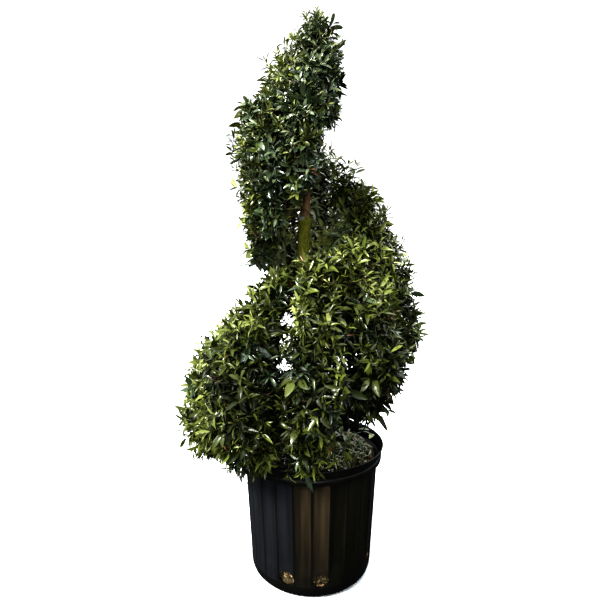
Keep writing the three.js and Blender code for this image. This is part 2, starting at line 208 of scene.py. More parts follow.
def polar(radius, degrees, height):
    angle = np.radians(degrees)
    return np.stack(np.broadcast_arrays(radius * np.cos(angle), radius * np.sin(angle), height), -1)


def hump(value, middle, reach):
    return np.exp(-(((value - middle) / reach) ** 2))


def patches(points, size, seed=0.0):
    """Smooth noise from about -1 to 1 at each point, in patches of the given size."""
    shift = Vector((seed, 2 * seed, -seed))
    return np.array([noise.noise(Vector(p) / size + shift) for p in points])


def jitter(count, amount):
    return rng.normal(0.0, amount, (count, 3))


def varied(count, amount, low=0.5, high=1.6):
    """Random factors about 1."""
    return rng.normal(1, amount, count).clip(low, high)


# ---------------------------------------------------------------- mesh helpers


def placed(name, data):
    """A new object in the scene."""
    thing = bpy.data.objects.new(name, data)
    bpy.context.scene.collection.objects.link(thing)
    return thing


def add_mesh(name, batch, materials, replaces=(), shade_smooth=True):
    """One piece on the plant. A batch is (points, groups), and each of its groups is (faces, material
    numbers), its faces alike in size."""
    points, groups = batch
    mesh = bpy.data.meshes.new(name)
    loops = np.concatenate([faces.ravel() for faces, _ in groups])
    sizes = np.concatenate([np.full(len(faces), faces.shape[1]) for faces, _ in groups])
    kinds = np.concatenate([np.broadcast_to(kind, len(faces)) for faces, kind in groups])
    mesh.vertices.add(len(points))
    mesh.vertices.foreach_set("co", np.asarray(points, np.float32).ravel())
    mesh.loops.add(len(loops))
    mesh.loops.foreach_set("vertex_index", loops.astype(np.int32))
    mesh.polygons.add(len(sizes))
    mesh.polygons.foreach_set("loop_start", (np.cumsum(sizes) - sizes).astype(np.int32))
    for material in materials:
        mesh.materials.append(material)
    mesh.polygons.foreach_set("material_index", kinds.astype(np.int32))
    mesh.polygons.foreach_set("use_smooth", np.full(len(sizes), shade_smooth))
    mesh.update(calc_edges=True)
    mesh.validate()
    piece = placed(name, mesh)
    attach(piece, "root")
    if replaces:
        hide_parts(*replaces)
    return piece


def joined(batches):
    points, groups, count = [], [], 0
    for batch_points, batch_groups in batches:
        groups += [(faces + count, np.broadcast_to(kind, len(faces))) for faces, kind in batch_groups]
        points.append(batch_points)
        count += len(batch_points)
    return np.concatenate(points), groups


def node_arrays(name):
    """A CAD node's points and triangles."""
    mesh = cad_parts[name].data
    points = np.zeros(len(mesh.vertices) * 3)
    mesh.vertices.foreach_get("co", points)
    mesh.calc_loop_triangles()
    triangles = np.zeros(len(mesh.loop_triangles) * 3, np.int32)
    mesh.loop_triangles.foreach_get("vertices", triangles)
    return points.reshape(-1, 3), triangles.reshape(-1, 3)


def hermite(start, leave, end, arrive, steps):
    """Points along many curves at once, each set by its ends and its speed there."""
    t = np.linspace(0, 1, steps)[None, :, None]
    start, leave, end, arrive = (a[:, None, :] for a in (start, leave, end, arrive))
    return (
        start * (2 * t**3 - 3 * t**2 + 1)
        + leave * (t**3 - 2 * t**2 + t)
        + end * (3 * t**2 - 2 * t**3)
        + arrive * (t**3 - t**2)
    )


def tube_rings(lines, sides):
    """For each point of many lines, the unit vectors to the corners of its ring."""
    along = unit(np.gradient(lines, axis=1))
    chord = unit(lines[:, -1] - lines[:, 0])
    level = np.abs(chord[:, 2:]) < 0.8
    guide = np.where(level, UP, np.array([1.0, 0.0, 0.0]))[:, None, :]
    side = unit(square_to(guide, along))
    other = np.cross(along, side)
    turn = np.linspace(0, 2 * math.pi, sides, endpoint=False)[None, None, :, None]
    return np.cos(turn) * side[:, :, None] + np.sin(turn) * other[:, :, None]


def ring_faces(tubes, rings, sides):
    """Quads of closed tubes whose points run tube by tube, ring by ring."""
    ring = np.arange(tubes)[:, None, None] * rings * sides + np.arange(rings - 1)[None, :, None] * sides
    corner = np.arange(sides)
    after = (corner + 1) % sides
    quads = [ring + corner, ring + after, ring + sides + after, ring + sides + corner]
    return np.stack(quads, -1).reshape(-1, 4)


def end_caps(tubes, rings, sides):
    first = np.arange(tubes)[:, None] * rings * sides
    corner = np.arange(sides)
    return np.concatenate([first + corner[::-1], first + (rings - 1) * sides + corner])


def closed_tube(rings, sides, kinds=0):
    """The faces of one closed tube, its ends of the first kind."""
    return [(ring_faces(1, rings, sides), kinds), (end_caps(1, rings, sides), 0)]


def turned_round(radii, around, heights):
    """Rings of points about the upright axis, one for each height."""
    return polar(radii, around[None, :], heights[:, None]).reshape(-1, 3)


def tubes(lines, radii, sides, kinds=0):
    """Closed tubes along many lines of equally many points, as one batch."""
    count, rings = radii.shape
    points = lines[:, :, None, :] + tube_rings(lines, sides) * radii[:, :, None, None]
    kinds = np.broadcast_to(kinds, count)
    return points.reshape(-1, 3), [
        (ring_faces(count, rings, sides), np.repeat(kinds, (rings - 1) * sides)),
        (end_caps(count, rings, sides), np.tile(kinds, 2)),
    ]


# ---------------------------------------------------------------- materials


def new_material(name, base=(0.5, 0.5, 0.5), roughness=0.5, specular=0.5):
    material = bpy.data.materials.new(name)
    material.use_nodes = True
    inputs = material.node_tree.nodes["Principled BSDF"].inputs
    inputs["Base Color"].default_value = (*base, 1)
    inputs["Roughness"].default_value = roughness
    inputs["Specular IOR Level"].default_value = specular
    return material


class Nodes:
    """Short ways to add the nodes of one material or world."""

    def __init__(self, owner, space="Object"):
        self.tree = owner.node_tree
        self.place = self.add("TexCoord", {}, space)

    def add(self, kind, inputs, output, **settings):
        """An output of a new node, whose inputs are constants or the outputs of other nodes."""
        node = self.tree.nodes.new("ShaderNode" + kind)
        for name, value in settings.items():
            setattr(node, name, value)
        for name, value in inputs.items():
            if isinstance(value, bpy.types.NodeSocket):
                self.tree.links.new(value, node.inputs[name])
            else:
                node.inputs[name].default_value = value
        return node.outputs[output]

    def axis(self, letter):
        return self.add("SeparateXYZ", {"Vector": self.place}, letter)

    def stretched(self, scale):
        return self.add("Mapping", {"Vector": self.place, "Scale": scale}, "Vector")

    def noise(self, scale, detail=4.0, roughness=0.6, stretch=(1, 1, 1)):
        texture = {"Scale": scale, "Detail": detail, "Roughness": roughness}
        return self.add("TexNoise", {"Vector": self.stretched(stretch), **texture}, "Fac")

    def ramp(self, value, stops):
        colour = self.add("ValToRGB", {"Fac": value}, "Color")
        elements = colour.node.color_ramp.elements
        while len(elements) < len(stops):
            elements.new(1.0)
        for element, (position, shade) in zip(elements, stops):
            element.position = position
            element.color = (*shade, 1)
        return colour

    def spread(self, value, low, high, from_low=0.3, from_high=0.7):
        reach = {"From Min": from_low, "From Max": from_high, "To Min": low, "To Max": high}
        return self.add("MapRange", {"Value": value, **reach}, "Result")

    def blend(self, share, first, second):
        return self.add("Mix", {"Factor": share, "A": first, "B": second}, "Result", data_type="RGBA")

    def times(self, first, second):
        return self.add("Math", {0: first, 1: second}, "Value", operation="MULTIPLY")

    def finish(self, colour, roughness, bumps):
        """Links the shader's colour, roughness and bumps, each (value, strength, distance), the
        last on top."""
        links = {"Base Color": colour, "Roughness": roughness}
        below = {}
        for value, strength, distance in bumps:
            inputs = {"Height": value, "Strength": strength, "Distance": distance, **below}
            below = {"Normal": self.add("Bump", inputs, "Normal")}
        for name, value in {**links, **below}.items():
            self.tree.links.new(value, self.tree.nodes["Principled BSDF"].inputs[name])


# From the oldest and darkest leaves to the youngest, then the bronze ones, then the cooler greens
# that take the place of the first ones on a cool shoot. The darkest also serve as painted shade
# deep in the crown, the lightest as painted light in shaded hollows, and the cooler greyish greens
# partly as a painted sky sheen.
LEAF_COLOURS = [
    ("leaf_deep", (0.010, 0.013, 0.005)),
    ("leaf_dark", (0.024, 0.030, 0.008)),
    ("leaf_mid", (0.050, 0.061, 0.014)),
    ("leaf_olive", (0.084, 0.098, 0.020)),
    ("leaf_fresh", (0.118, 0.145, 0.028)),
    ("leaf_young", (0.180, 0.206, 0.054)),
    ("leaf_lime", (0.285, 0.305, 0.095)),
    ("leaf_bronze", (0.150, 0.070, 0.026)),
    ("leaf_cool_deep", (0.014, 0.022, 0.012)),
    ("leaf_cool_dark", (0.026, 0.040, 0.020)),
    ("leaf_cool_mid", (0.040, 0.062, 0.031)),
    ("leaf_cool_green", (0.066, 0.094, 0.045)),
    ("leaf_cool_fresh", (0.098, 0.132, 0.062)),
    ("leaf_cool_young", (0.140, 0.174, 0.084)),
    ("leaf_cool_pale", (0.210, 0.243, 0.130)),
]
TONE_STEPS = [0.14, 0.34, 0.52, 0.66, 0.79, 0.91]
BRONZE = 7
COOL = 8
COOL_GREENS = 7


def leaf_materials():
    warm = [new_material(name, base, 0.26, 0.42) for name, base in LEAF_COLOURS[1:COOL]]
    cool = [new_material(name, base, 0.21, 0.95) for name, base in LEAF_COLOURS[COOL + 1:]]
    deep, cool_deep = (new_material(*LEAF_COLOURS[place], 0.32, 0.15) for place in (0, COOL))
    return [deep] + warm + [cool_deep] + cool


def mossy_bark():
    """Olive green with algae up to the collar, and grey-brown above it."""
    material = new_material("bark_mossy", specular=0.25)
    nodes = Nodes(material)
    fine = nodes.noise(180, 6, 0.65, (1, 1, 0.35))
    broad = nodes.noise(26, 4, 0.6, (1, 1, 0.5))
    moss = nodes.ramp(
        fine, [(0.30, (0.060, 0.062, 0.008)), (0.55, (0.150, 0.150, 0.017)), (0.8, (0.24, 0.22, 0.04))])
    brown = nodes.ramp(
        fine, [(0.28, (0.060, 0.036, 0.018)), (0.55, (0.190, 0.115, 0.055)), (0.8, (0.30, 0.20, 0.12))])
    patchy = nodes.blend(nodes.spread(broad, 0.0, 1.0, 0.56, 0.70), moss, brown)
    above = nodes.spread(nodes.axis("Z"), 0.0, 1.0, *COLLAR_TOP)
    colour = nodes.blend(above, patchy, brown)
    nodes.finish(colour, nodes.spread(fine, 0.7, 0.95), [(broad, 0.5, 0.004), (fine, 0.6, 0.0015)])
    return material


def bough_bark():
    material = new_material("bark_bough", specular=0.25)
    nodes = Nodes(material)
    fine = nodes.noise(260, 6, 0.65)
    broad = nodes.noise(40, 3)
    brown = nodes.ramp(
        fine, [(0.3, (0.035, 0.021, 0.013)), (0.55, (0.105, 0.065, 0.040)), (0.8, (0.19, 0.14, 0.10))])
    green = nodes.ramp(fine, [(0.3, (0.035, 0.036, 0.010)), (0.7, (0.095, 0.095, 0.030))])
    colour = nodes.blend(nodes.spread(broad, 0.0, 1.0, 0.50, 0.66), brown, green)
    nodes.finish(colour, nodes.spread(fine, 0.7, 0.92), [(fine, 0.5, 0.001)])
    return material


# Name, the plastic where clean, its dusting and painted sheen, and how much of these lies on it.
# The grey and olive looks are painted reflections of the surround; the brown is partly a dusting
# and partly a painted warm reflection.
POT_LOOKS = [
    ("pot_plastic", (0.0036, 0.0034, 0.0028), (0.010, 0.009, 0.006), 0.5),
    ("pot_plastic_dusty", (0.0075, 0.0062, 0.0042), (0.060, 0.043, 0.024), 0.8),
    ("pot_plastic_grey", (0.0072, 0.0078, 0.0092), (0.014, 0.015, 0.018), 0.8),
    ("pot_plastic_olive", (0.0055, 0.0052, 0.0030), (0.015, 0.013, 0.008), 0.8),
]


def pot_plastics():
    """Blow-moulded black plastic: satin, with a dusting, drips and rubbed streaks, and on some panels
    a painted sheen of the surround mixed in with the dusting.
    """
    materials = []
    for name, clean, dust_sheen_colour, share in POT_LOOKS:
        material = new_material(name, specular=0.22)
        nodes = Nodes(material)
        cloud = nodes.noise(7, 5, 0.6, (1, 1, 0.45))
        streaks = nodes.noise(60, 5, 0.7, (1, 1, 0.06))
        grain = nodes.noise(900, 2, 0.5)
        smears = nodes.noise(24, 3, 0.5, (1, 1, 0.04))
        black = nodes.ramp(streaks, [(0.3, clean), (0.7, tuple(1.6 * c for c in clean))])
        dust_and_sheen = nodes.ramp(grain, [(0.3, dust_sheen_colour), (0.7, tuple(1.7 * c for c in dust_sheen_colour))])
        # The dusting and painted sheen rise from nothing near the foot, which stays darker, to their share
        # higher up.
        rising = nodes.spread(nodes.axis("Z"), 0.0, share, 0.06, 0.27)
        dust_and_sheen_share = nodes.times(nodes.spread(smears, 0.15, 1.0, 0.42, 0.58), rising)
        satin = nodes.spread(streaks, 0.28, 0.46)
        nodes.finish(nodes.blend(dust_and_sheen_share, black, dust_and_sheen), satin, [(cloud, 0.25, 0.004), (grain, 0.12, 0.0004)])
        materials.append(material)
    return materials


def potting_soil():
    material = new_material("potting_soil", specular=0.15)
    nodes = Nodes(material)
    crumbs = nodes.noise(240, 8, 0.75)
    cells = nodes.add("TexVoronoi", {"Vector": nodes.place, "Scale": 330}, "Distance")
    dark = nodes.ramp(
        crumbs, [(0.35, (0.010, 0.008, 0.004)), (0.6, (0.060, 0.048, 0.024)), (0.8, (0.180, 0.145, 0.080))])
    dry = nodes.ramp(crumbs, [(0.35, (0.022, 0.018, 0.010)), (0.7, (0.150, 0.122, 0.070))])
    colour = nodes.blend(nodes.spread(nodes.noise(30, 4), 0, 1, 0.4, 0.65), dark, dry)
    nodes.finish(colour, nodes.spread(crumbs, 0.8, 1.0), [(crumbs, 0.9, 0.003), (cells, 0.5, 0.0015)])
    return material


# Name, base colour, roughness and specular level of what needs no texture at its size
TWIG_LOOKS = [
    ("twig_green", (0.075, 0.085, 0.025), 0.55, 0.35),
    ("twig_red_brown", (0.085, 0.045, 0.026), 0.6, 0.3),
    ("twig_grey_brown", (0.070, 0.055, 0.036), 0.8, 0.2),
]
CHIP_LOOKS = [
    ("chip_brown", (0.120, 0.082, 0.040), 0.85, 0.2),
    ("chip_tan", (0.270, 0.190, 0.100), 0.85, 0.2),
    ("chip_dark", (0.034, 0.025, 0.016), 0.9, 0.2),
]
CUT_WOOD = ("cut_wood_grey", (0.190, 0.200, 0.180), 0.8, 0.2)


def plain_materials(looks):
    return [new_material(*look) for look in looks]


# ---------------------------------------------------------------- leaves

# Along a leaf from its stalk to its point: the share of its length, and the width there
SMALL_LEAF = np.array([(0.0, 0.0), (0.26, 0.86), (0.64, 0.78), (1.0, 0.0)])
BROAD_LEAF = np.array([(0.0, 0.0), (0.20, 0.52), (0.48, 1.0), (0.80, 0.76), (1.0, 0.0)])
LONG_LEAF = np.array([(0.0, 0.0), (0.10, 0.24), (0.32, 0.95), (0.58, 0.96), (0.82, 0.48), (1.0, 0.0)])


def leaf_batch(outline, foot, axis, face, length, width, fold, bend, kinds):
    """Leaves as outlines of a few faces, folded along the midrib and bent over lengthwise."""
    count, rows = len(foot), len(outline) - 2
    turn = bend[:, None] * outline[None, :, 0]
    rise, ahead = np.sin(turn)[..., None], np.cos(turn)[..., None]
    run = (length / bend)[:, None, None]
    axis, face = axis[:, None], face[:, None]
    middle = foot[:, None] + axis * (run * rise) - face * (run * (1 - ahead))
    half = (width[:, None] * outline[None, :, 1] / 2)[..., None]
    tilt = fold[:, None, None]
    across = np.cross(axis, face) * half * np.cos(tilt)
    lift = (face * ahead + axis * rise) * half * np.sin(tilt)
    blade = np.stack([middle - across + lift, middle, middle + across + lift], axis=2)[:, 1:-1]
    points = np.concatenate([middle[:, :1], blade.reshape(count, 3 * rows, 3), middle[:, -1:]], axis=1)
    quads = [(r, r + 1, r + 4, r + 3) for row in range(rows - 1) for r in (3 * row + 1, 3 * row + 2)]
    last, tip = 3 * rows - 2, 3 * rows + 1
    triangles = [(0, 2, 1), (0, 3, 2), (last, last + 1, tip), (last + 1, last + 2, tip)]
    start = (np.arange(count) * points.shape[1])[:, None, None]
    return points.reshape(-1, 3), [
        ((start + np.array(faces)).reshape(-1, len(faces[0])), np.repeat(kinds, len(faces)))
        for faces in (quads, triangles)
    ]


def shoot_lines(shoots, steps=4):
    """The stems of shoots, which curl up a little, or hang down where they droop."""
    t = np.linspace(0, 1, steps)[None, :, None]
    run = shoots["length"][:, None, None]
    curl = UP * ((0.16 - 0.5 * shoots["droop"]) * shoots["length"])[:, None, None]
    return shoots["foot"][:, None] + shoots["heading"][:, None] * run * t + curl * t**2


def stem_frame(lines, which, t):
    """The place, the direction and two crosswise directions at share t of the stems which."""
    spot = t[:, None] * (lines.shape[1] - 1)
    index = np.minimum(spot.astype(int)[:, 0], lines.shape[1] - 2)
    first, second = lines[which, index], lines[which, index + 1]
    along = unit(second - first)
    side = unit(square_to(np.broadcast_to(np.array([0.31, 0.17, 0.94]), along.shape), along))
    return mix(first, second, spot - index[:, None]), along, side, np.cross(along, side)


def leaves_on(shoots, lines):
    """Opposite pairs of leaves, each pair at right angles to the last, and a pair at the tip."""
    pairs = np.clip(np.round(shoots["length"] / shoots["gap"]), 2, 8).astype(int)
    which = np.repeat(np.arange(len(pairs)), pairs + 1)
    step = np.arange(len(which)) - np.repeat(np.cumsum(pairs + 1) - (pairs + 1), pairs + 1)
    share = np.minimum((step + 0.55) / pairs[which], 1.0)
    turned = rng.uniform(0, math.pi, len(pairs))[which] + step * math.pi / 2
    which, share, turned = (np.repeat(a, 2) for a in (which, share, turned))
    count = len(which)
    turned = turned + np.tile([0, math.pi], count // 2)
    turned = (turned + rng.normal(0, 0.22, count))[:, None]
    place, along, side, other = stem_frame(lines, which, share)
    outward = np.cos(turned) * side + np.sin(turned) * other
    tip = share > 0.97
    opening = np.where(tip, rng.uniform(12, 38, count), mix(78, 42, share) + rng.normal(0, 9, count))
    opening = np.radians(opening)[:, None]
    droop = shoots["droop"][which] * (1.1 - 0.5 * share)
    axis = along * np.cos(opening) + outward * np.sin(opening)
    axis = unit(axis - UP * droop[:, None] + jitter(count, 0.10))
    face = along * np.sin(opening) - outward * np.cos(opening)
    face = face + UP * rng.uniform(0.0, 0.9, count)[:, None] + jitter(count, 0.30)
    size = (0.78 + 0.30 * np.sin(math.pi * np.clip(share, 0.05, 0.95))) * varied(count, 0.13, 0.6, 1.35)
    length = shoots["leaf"][which] * size * np.where(tip, 0.72, 1.0)
    width = length * shoots["ratio"][which] * varied(count, 0.09, 0.75, 1.3) * np.where(tip, 0.8, 1.0)
    # Leaves grow lighter from a shoot's foot to its tip: partly younger leaves at the tip, partly painted
    # shade at the foot deeper in the crown.
    tone = shoots["tone"][which] + rng.normal(0, 0.09, count) + 0.46 * (share - 0.55)
    kinds = np.digitize(tone, TONE_STEPS)
    kinds = np.where(shoots["cool"][which] & (kinds < COOL_GREENS), COOL + kinds, kinds)
    kinds = np.where(rng.random(count) < BRONZE_SHARE * shoots["bronze"][which], BRONZE, kinds)
    bend = np.clip(rng.normal(0.48, 0.34, count) + 0.6 * droop, 0.06, 1.6)
    return {
        "foot": place + axis * 0.0015, "axis": axis, "face": unit(square_to(face, axis)),
        "length": length, "width": width, "fold": rng.uniform(0.15, 0.65, count), "bend": bend,
        "kinds": kinds, "in_pot": shoots["in_pot"][which],
    }


def lone_leaves(feet, tips, width, bend, kinds, face=UP):
    """Leaves that are placed one by one, from foot to tip, on the outside of the pot's wall too."""
    feet, tips = np.array(feet, float), np.array(tips, float)
    count = len(feet)
    axis = unit(tips - feet)
    face = unit(square_to(np.broadcast_to(face, axis.shape) + jitter(count, 0.12), axis))
    return {
        "foot": feet, "axis": unit(axis + face * bend / 2), "face": unit(face - axis * bend / 2),
        "length": lengths(tips - feet) * 1.06, "width": np.full(count, width),
        "fold": np.full(count, 0.3), "bend": np.full(count, bend),
        "kinds": np.full(count, kinds), "in_pot": np.full(count, True),
    }


def in_opening(points):
    inside = np.zeros(len(points), bool)
    for middle, way, radius, end in OPENINGS:
        away = lengths(square_to(points - np.array(middle), unit(np.array(way))))
        near = np.flatnonzero((away < radius * (1 + OPENING_RAGGED)) & (points[:, 1] < end))
        edge = radius * (1 + OPENING_RAGGED * patches(points[near], radius, 6.0))
        inside[near] |= away[near] < edge * rng.uniform(0.75, 1.15, len(near))
    return inside


def leaf_fits(leaf):
    """Leaves that would pass the crown's box, the pot's wall or an opening are left off."""
    tip = leaf["foot"] + leaf["axis"] * leaf["length"][:, None]
    middle = mix(leaf["foot"], tip, 0.5)
    low, high = np.array(cad_box[0]) - MAX_PROUD, np.array(cad_box[1]) + MAX_PROUD
    fits = np.all((tip > low) & (tip < high), axis=1)
    for points in (middle, tip):
        at_pot = (from_axis(points) < RIM_RADIUS + 0.006) & (points[:, 2] < POT_HEIGHT + 0.004)
        fits &= ~at_pot | leaf["in_pot"]
    clear = lengths(middle - trunk_at(middle[:, 2])) > trunk_radius_at(middle[:, 2]) + 0.004
    return fits & clear & ~in_opening(middle) & ~in_opening(mix(middle, tip, 0.6))


# ---------------------------------------------------------------- stem and boughs from the frame


def level_rings(name):
    """The heights, centres and radii of a node whose rings lie level."""
    points, _ = node_arrays(name)
    levels = np.unique(np.round(points[:, 2], 4))
    rows = [points[np.abs(points[:, 2] - level) < 2e-4] for level in levels]
    centres = np.array([row.mean(0) for row in rows])
    return levels, centres, np.array([lengths(row - centre).max() for row, centre in zip(rows, centres)])


TRUNK_LEVELS, TRUNK_CENTRES, TRUNK_RADII = level_rings("trunk")


def trunk_at(height):
    x, y = (np.interp(height, TRUNK_LEVELS, TRUNK_CENTRES[:, axis]) for axis in (0, 1))
    return np.stack([x, y, height], -1)


def trunk_radius_at(height):
    return np.interp(height, TRUNK_LEVELS, TRUNK_RADII)


def bough_line(name):
    """The centres and radii of a bough's rings, from inside the trunk to its end."""
    points = np.unique(np.round(node_arrays(name)[0], 5), axis=0)
    end = points[np.argmax(lengths(points - trunk_at(points[:, 2])))]
    order = np.argsort(lengths(points - end))
    rings = [points[order[25:]], points[order[17:25]], points[order[9:17]], points[order[0:9]]]
    centres = [ring.mean(0) for ring in rings]
    radii = [lengths(ring - centre).max() for ring, centre in zip(rings[1:], centres[1:])]
    centres[0] = mix(trunk_at(centres[0][2]), centres[0], 0.3)
    return np.array(centres), np.array([radii[0] * 1.15, *radii])


def refine(line, radii, steps):
    """A smooth line through a few points, with the radius at each new point."""
    speed = np.gradient(line, axis=0)
    per = max(2, steps // (len(line) - 1))
    parts = hermite(line[:-1], speed[:-1], line[1:], speed[1:], per + 1)
    fine = np.concatenate([parts[:, :-1].reshape(-1, 3), line[-1:]])
    place = np.linspace(0, len(line) - 1, len(fine))
    return fine, np.interp(place, np.arange(len(line)), radii)


def bark_tube(name, line, radii, sides, relief, material, replaces=(), extra=None):
    """A limb with furrows, flakes and scars worked into its mesh."""
    spokes = tube_rings(line[None], sides)
    points = (line[None, :, None] + spokes * radii[None, :, None, None]).reshape(-1, 3)
    stretched = points * np.array([1.0, 1.0, 0.30])
    furrows = patches(stretched, 0.006, 3.1) * 0.6 + patches(stretched, 0.0026, 7.7) * 0.4
    flakes = np.maximum(patches(points, 0.013, 1.3), 0) ** 2
    offset = relief * (furrows + 1.2 * flakes)
    if extra is not None:
        offset = offset + extra(points)
    points = points + spokes.reshape(-1, 3) * offset[:, None]
    add_mesh(name, (points, closed_tube(len(line), sides)), [material], replaces)


def collar_swelling(points):
    """The callus where a fork was pruned away, and a few old twig scars."""
    height = points[:, 2]
    around = azimuth(points - trunk_at(height))
    swelling = 0.0022 * hump(height, COLLAR_HEIGHT, 0.012) - 0.0034 * smooth(height, 1.052, 1.066)
    for level, direction, size in SCARS:
        apart = np.abs((around - direction + 180) % 360 - 180)
        swelling = swelling + size * hump(height, level, 0.010) * hump(apart, 0, 28)
    return swelling


def build_trunk(bark):
    heights = np.linspace(TRUNK_LEVELS[0], TRUNK_LEVELS[-1], TRUNK_RINGS)
    line = trunk_at(heights)
    window = np.hanning(25) / np.hanning(25).sum()
    for axis in (0, 1):
        padded = np.pad(line[:, axis], 12, mode="reflect", reflect_type="odd")
        line[:, axis] = np.convolve(padded, window, mode="valid")
    radii = trunk_radius_at(heights) * 0.985
    bark_tube(
        "trunk_bark", line, radii, TRUNK_SIDES, TRUNK_RELIEF, bark, ["trunk"], collar_swelling)


def build_stub(bark, cut_wood):
    """What is left of the pruned fork: a short stub with a grey, callused end."""
    foot, end = trunk_at(np.array([1.030, 1.062]))
    end = end + np.array([-0.0120, -0.0220, -0.004])
    line, radii = refine(np.array([foot, mix(foot, end, 0.55), end]), np.array([0.013, 0.0120, 0.0105]), 16)
    bark_tube("stub_bark", line, radii, STUB_SIDES, LIMB_RELIEF, bark)
    cap = end + unit(end - foot) * np.array([[-0.001], [0.0012], [0.0018]])
    callus = tubes(cap[None], np.array([[0.0102, 0.0094, 0.0055]]), STUB_SIDES)
    add_mesh("stub_cut", callus, [cut_wood])


def build_boughs(bark):
    """Returns each bough's end, its direction there and its radius."""
    ends = {}
    for name in sorted(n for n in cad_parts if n.startswith("bough_")):
        line, radii = bough_line(name)
        fine, fine_radii = refine(line, radii, 36)
        knots = 1 + 0.10 * patches(fine, 0.02, 5.0)
        radii_here = fine_radii * knots
        bark_tube(f"{name}_bark", fine, radii_here, BOUGH_SIDES, LIMB_RELIEF, bark, [name])
        ends[name.replace("bough_", "")] = (fine[-1], unit(fine[-1] - fine[-3]), radii[-1])
    return ends


# ---------------------------------------------------------------- crown


def tree_of(points, triangles):
    return BVHTree.FromPolygons(points.tolist(), triangles.tolist())


MASSES = sorted(name.replace("foliage_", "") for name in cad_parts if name.startswith("foliage_"))
CROWN = [node_arrays(f"foliage_{name}") for name in MASSES]
CROWN_POINTS, CROWN_FACES = joined([(points, [(triangles, 0)]) for points, triangles in CROWN])
CROWN_TREE = tree_of(CROWN_POINTS, np.concatenate([faces for faces, _ in CROWN_FACES]))


def meets_neighbour(point, normal):
    start = Vector(point + normal * 0.0002)
    return CROWN_TREE.ray_cast(start, Vector(normal), SEAM_GAP)[0] is not None


def skin_of(name):
    """A mass's outer faces, without those that meet its neighbours, the stem or the pot."""
    points, triangles = node_arrays(f"foliage_{name}")
    corners = points[triangles]
    cross = np.cross(corners[:, 1] - corners[:, 0], corners[:, 2] - corners[:, 0])
    normal = unit(cross)
    middle = corners.mean(axis=1)
    height = middle[:, 2]
    seam = np.array([meets_neighbour(p, n) for p, n in zip(middle, normal)])
    seam |= lengths(middle - trunk_at(height)) < STEM_CLEARANCE * (height < 0.85) + STEM_GAP
    seam |= (from_axis(middle) < RIM_RADIUS + 0.008) & (height < POT_HEIGHT + 0.006)
    return corners, normal, np.where(seam, 0.0, lengths(cross) / 2), tree_of(points, triangles)


def sample_skin(corners, normal, weight, count):
    faces = rng.choice(len(weight), count, p=weight / weight.sum())
    first, second = rng.random((2, count, 1))
    flip = first + second > 1
    first, second = np.where(flip, 1 - first, first), np.where(flip, 1 - second, second)
    a, b, c = corners[faces].transpose(1, 0, 2)
    return a + (b - a) * first + (c - a) * second, normal[faces]


def spaced(points, gap):
    """Which points to keep so that no two lie nearer each other than the gap."""
    tree = KDTree(len(points))
    for index, point in enumerate(points):
        tree.insert(point, index)
    tree.balance()
    free = np.ones(len(points), bool)
    kept = []
    for index, point in enumerate(points):
        if free[index]:
            kept.append(index)
            free[[near for _, near, _ in tree.find_range(point, gap)]] = False
    return np.array(kept)


def depth_under(points, normals, tree):
    """How thick the mass is behind each point of its skin."""
    inward = [Vector(-normal) for normal in normals]
    hits = [tree.ray_cast(Vector(point) + way * 0.002, way) for point, way in zip(points, inward)]
    return np.array([hit[3] or 0.1 for hit in hits])


def tone_and_painted_light(points, normals):
    """How light the leaves of a shoot are, from 0 to 1, by its place on the crown: partly how young
    they are, and partly painted light and painted shade.
    """
    around, height = azimuth(points), points[:, 2]
    # Skin facing up gets lighter leaves: painted light from above.
    tone = 0.42 + 0.12 * normals[:, 2] + 0.18 * patches(points, 0.075, 2.0)
    for direction, width, level, tall, amount in TONES:
        tone = tone + amount * hump(around, direction, width) * hump(height, level, tall)
    # Lighter leaves on the front top, the upper left and up the crown: partly younger leaves, partly painted
    # light where the light falls most.
    front_top = hump(around, 285, 50) * hump(height, 0.97, 0.16) * (height < 1.1)
    upper_left = hump(around, 205, 40) * smooth(height, 1.1, 1.25)
    rising = 0.12 * smooth(height, 0.95, 1.15) + 0.17 * smooth(height, 1.36, 1.50)
    # Leaves in shade, facing the stem and in the hollow beside it, are made lighter: painted light.
    shaded = 0.32 * faces_stem(points, normals) * smooth(height, 0.85, 0.95) + 0.80 * by_stem(points)
    return tone + 0.04 * front_top + 0.16 * upper_left + rising + shaded


def by_stem(points):
    """Near 1 in the hollow left of the stem, whose leaves are made paler there: painted light and
    painted glints in the shade.
    """
    return hump(lengths(points - LEFT_OF_STEM), 0, 0.115)


def coolness(points, normals, high):
    """The share of shoots with cool green leaves: most of the upper turn and of the shaded side
    towards the stem, and few on the sunny left edge. The cool greys are partly the leaves' own
    cooler green and partly a painted sky sheen; the warm greens on the sunny edge are partly
    painted sunlight."""
    facing_stem = faces_stem(points, normals) * smooth(points[:, 2], 0.85, 0.95)
    share = np.maximum(mix(0.10, 0.80, high), np.maximum(0.4 * facing_stem, 0.7 * by_stem(points)))
    return share * (1 - 0.7 * hump(azimuth(points), 197, 36))


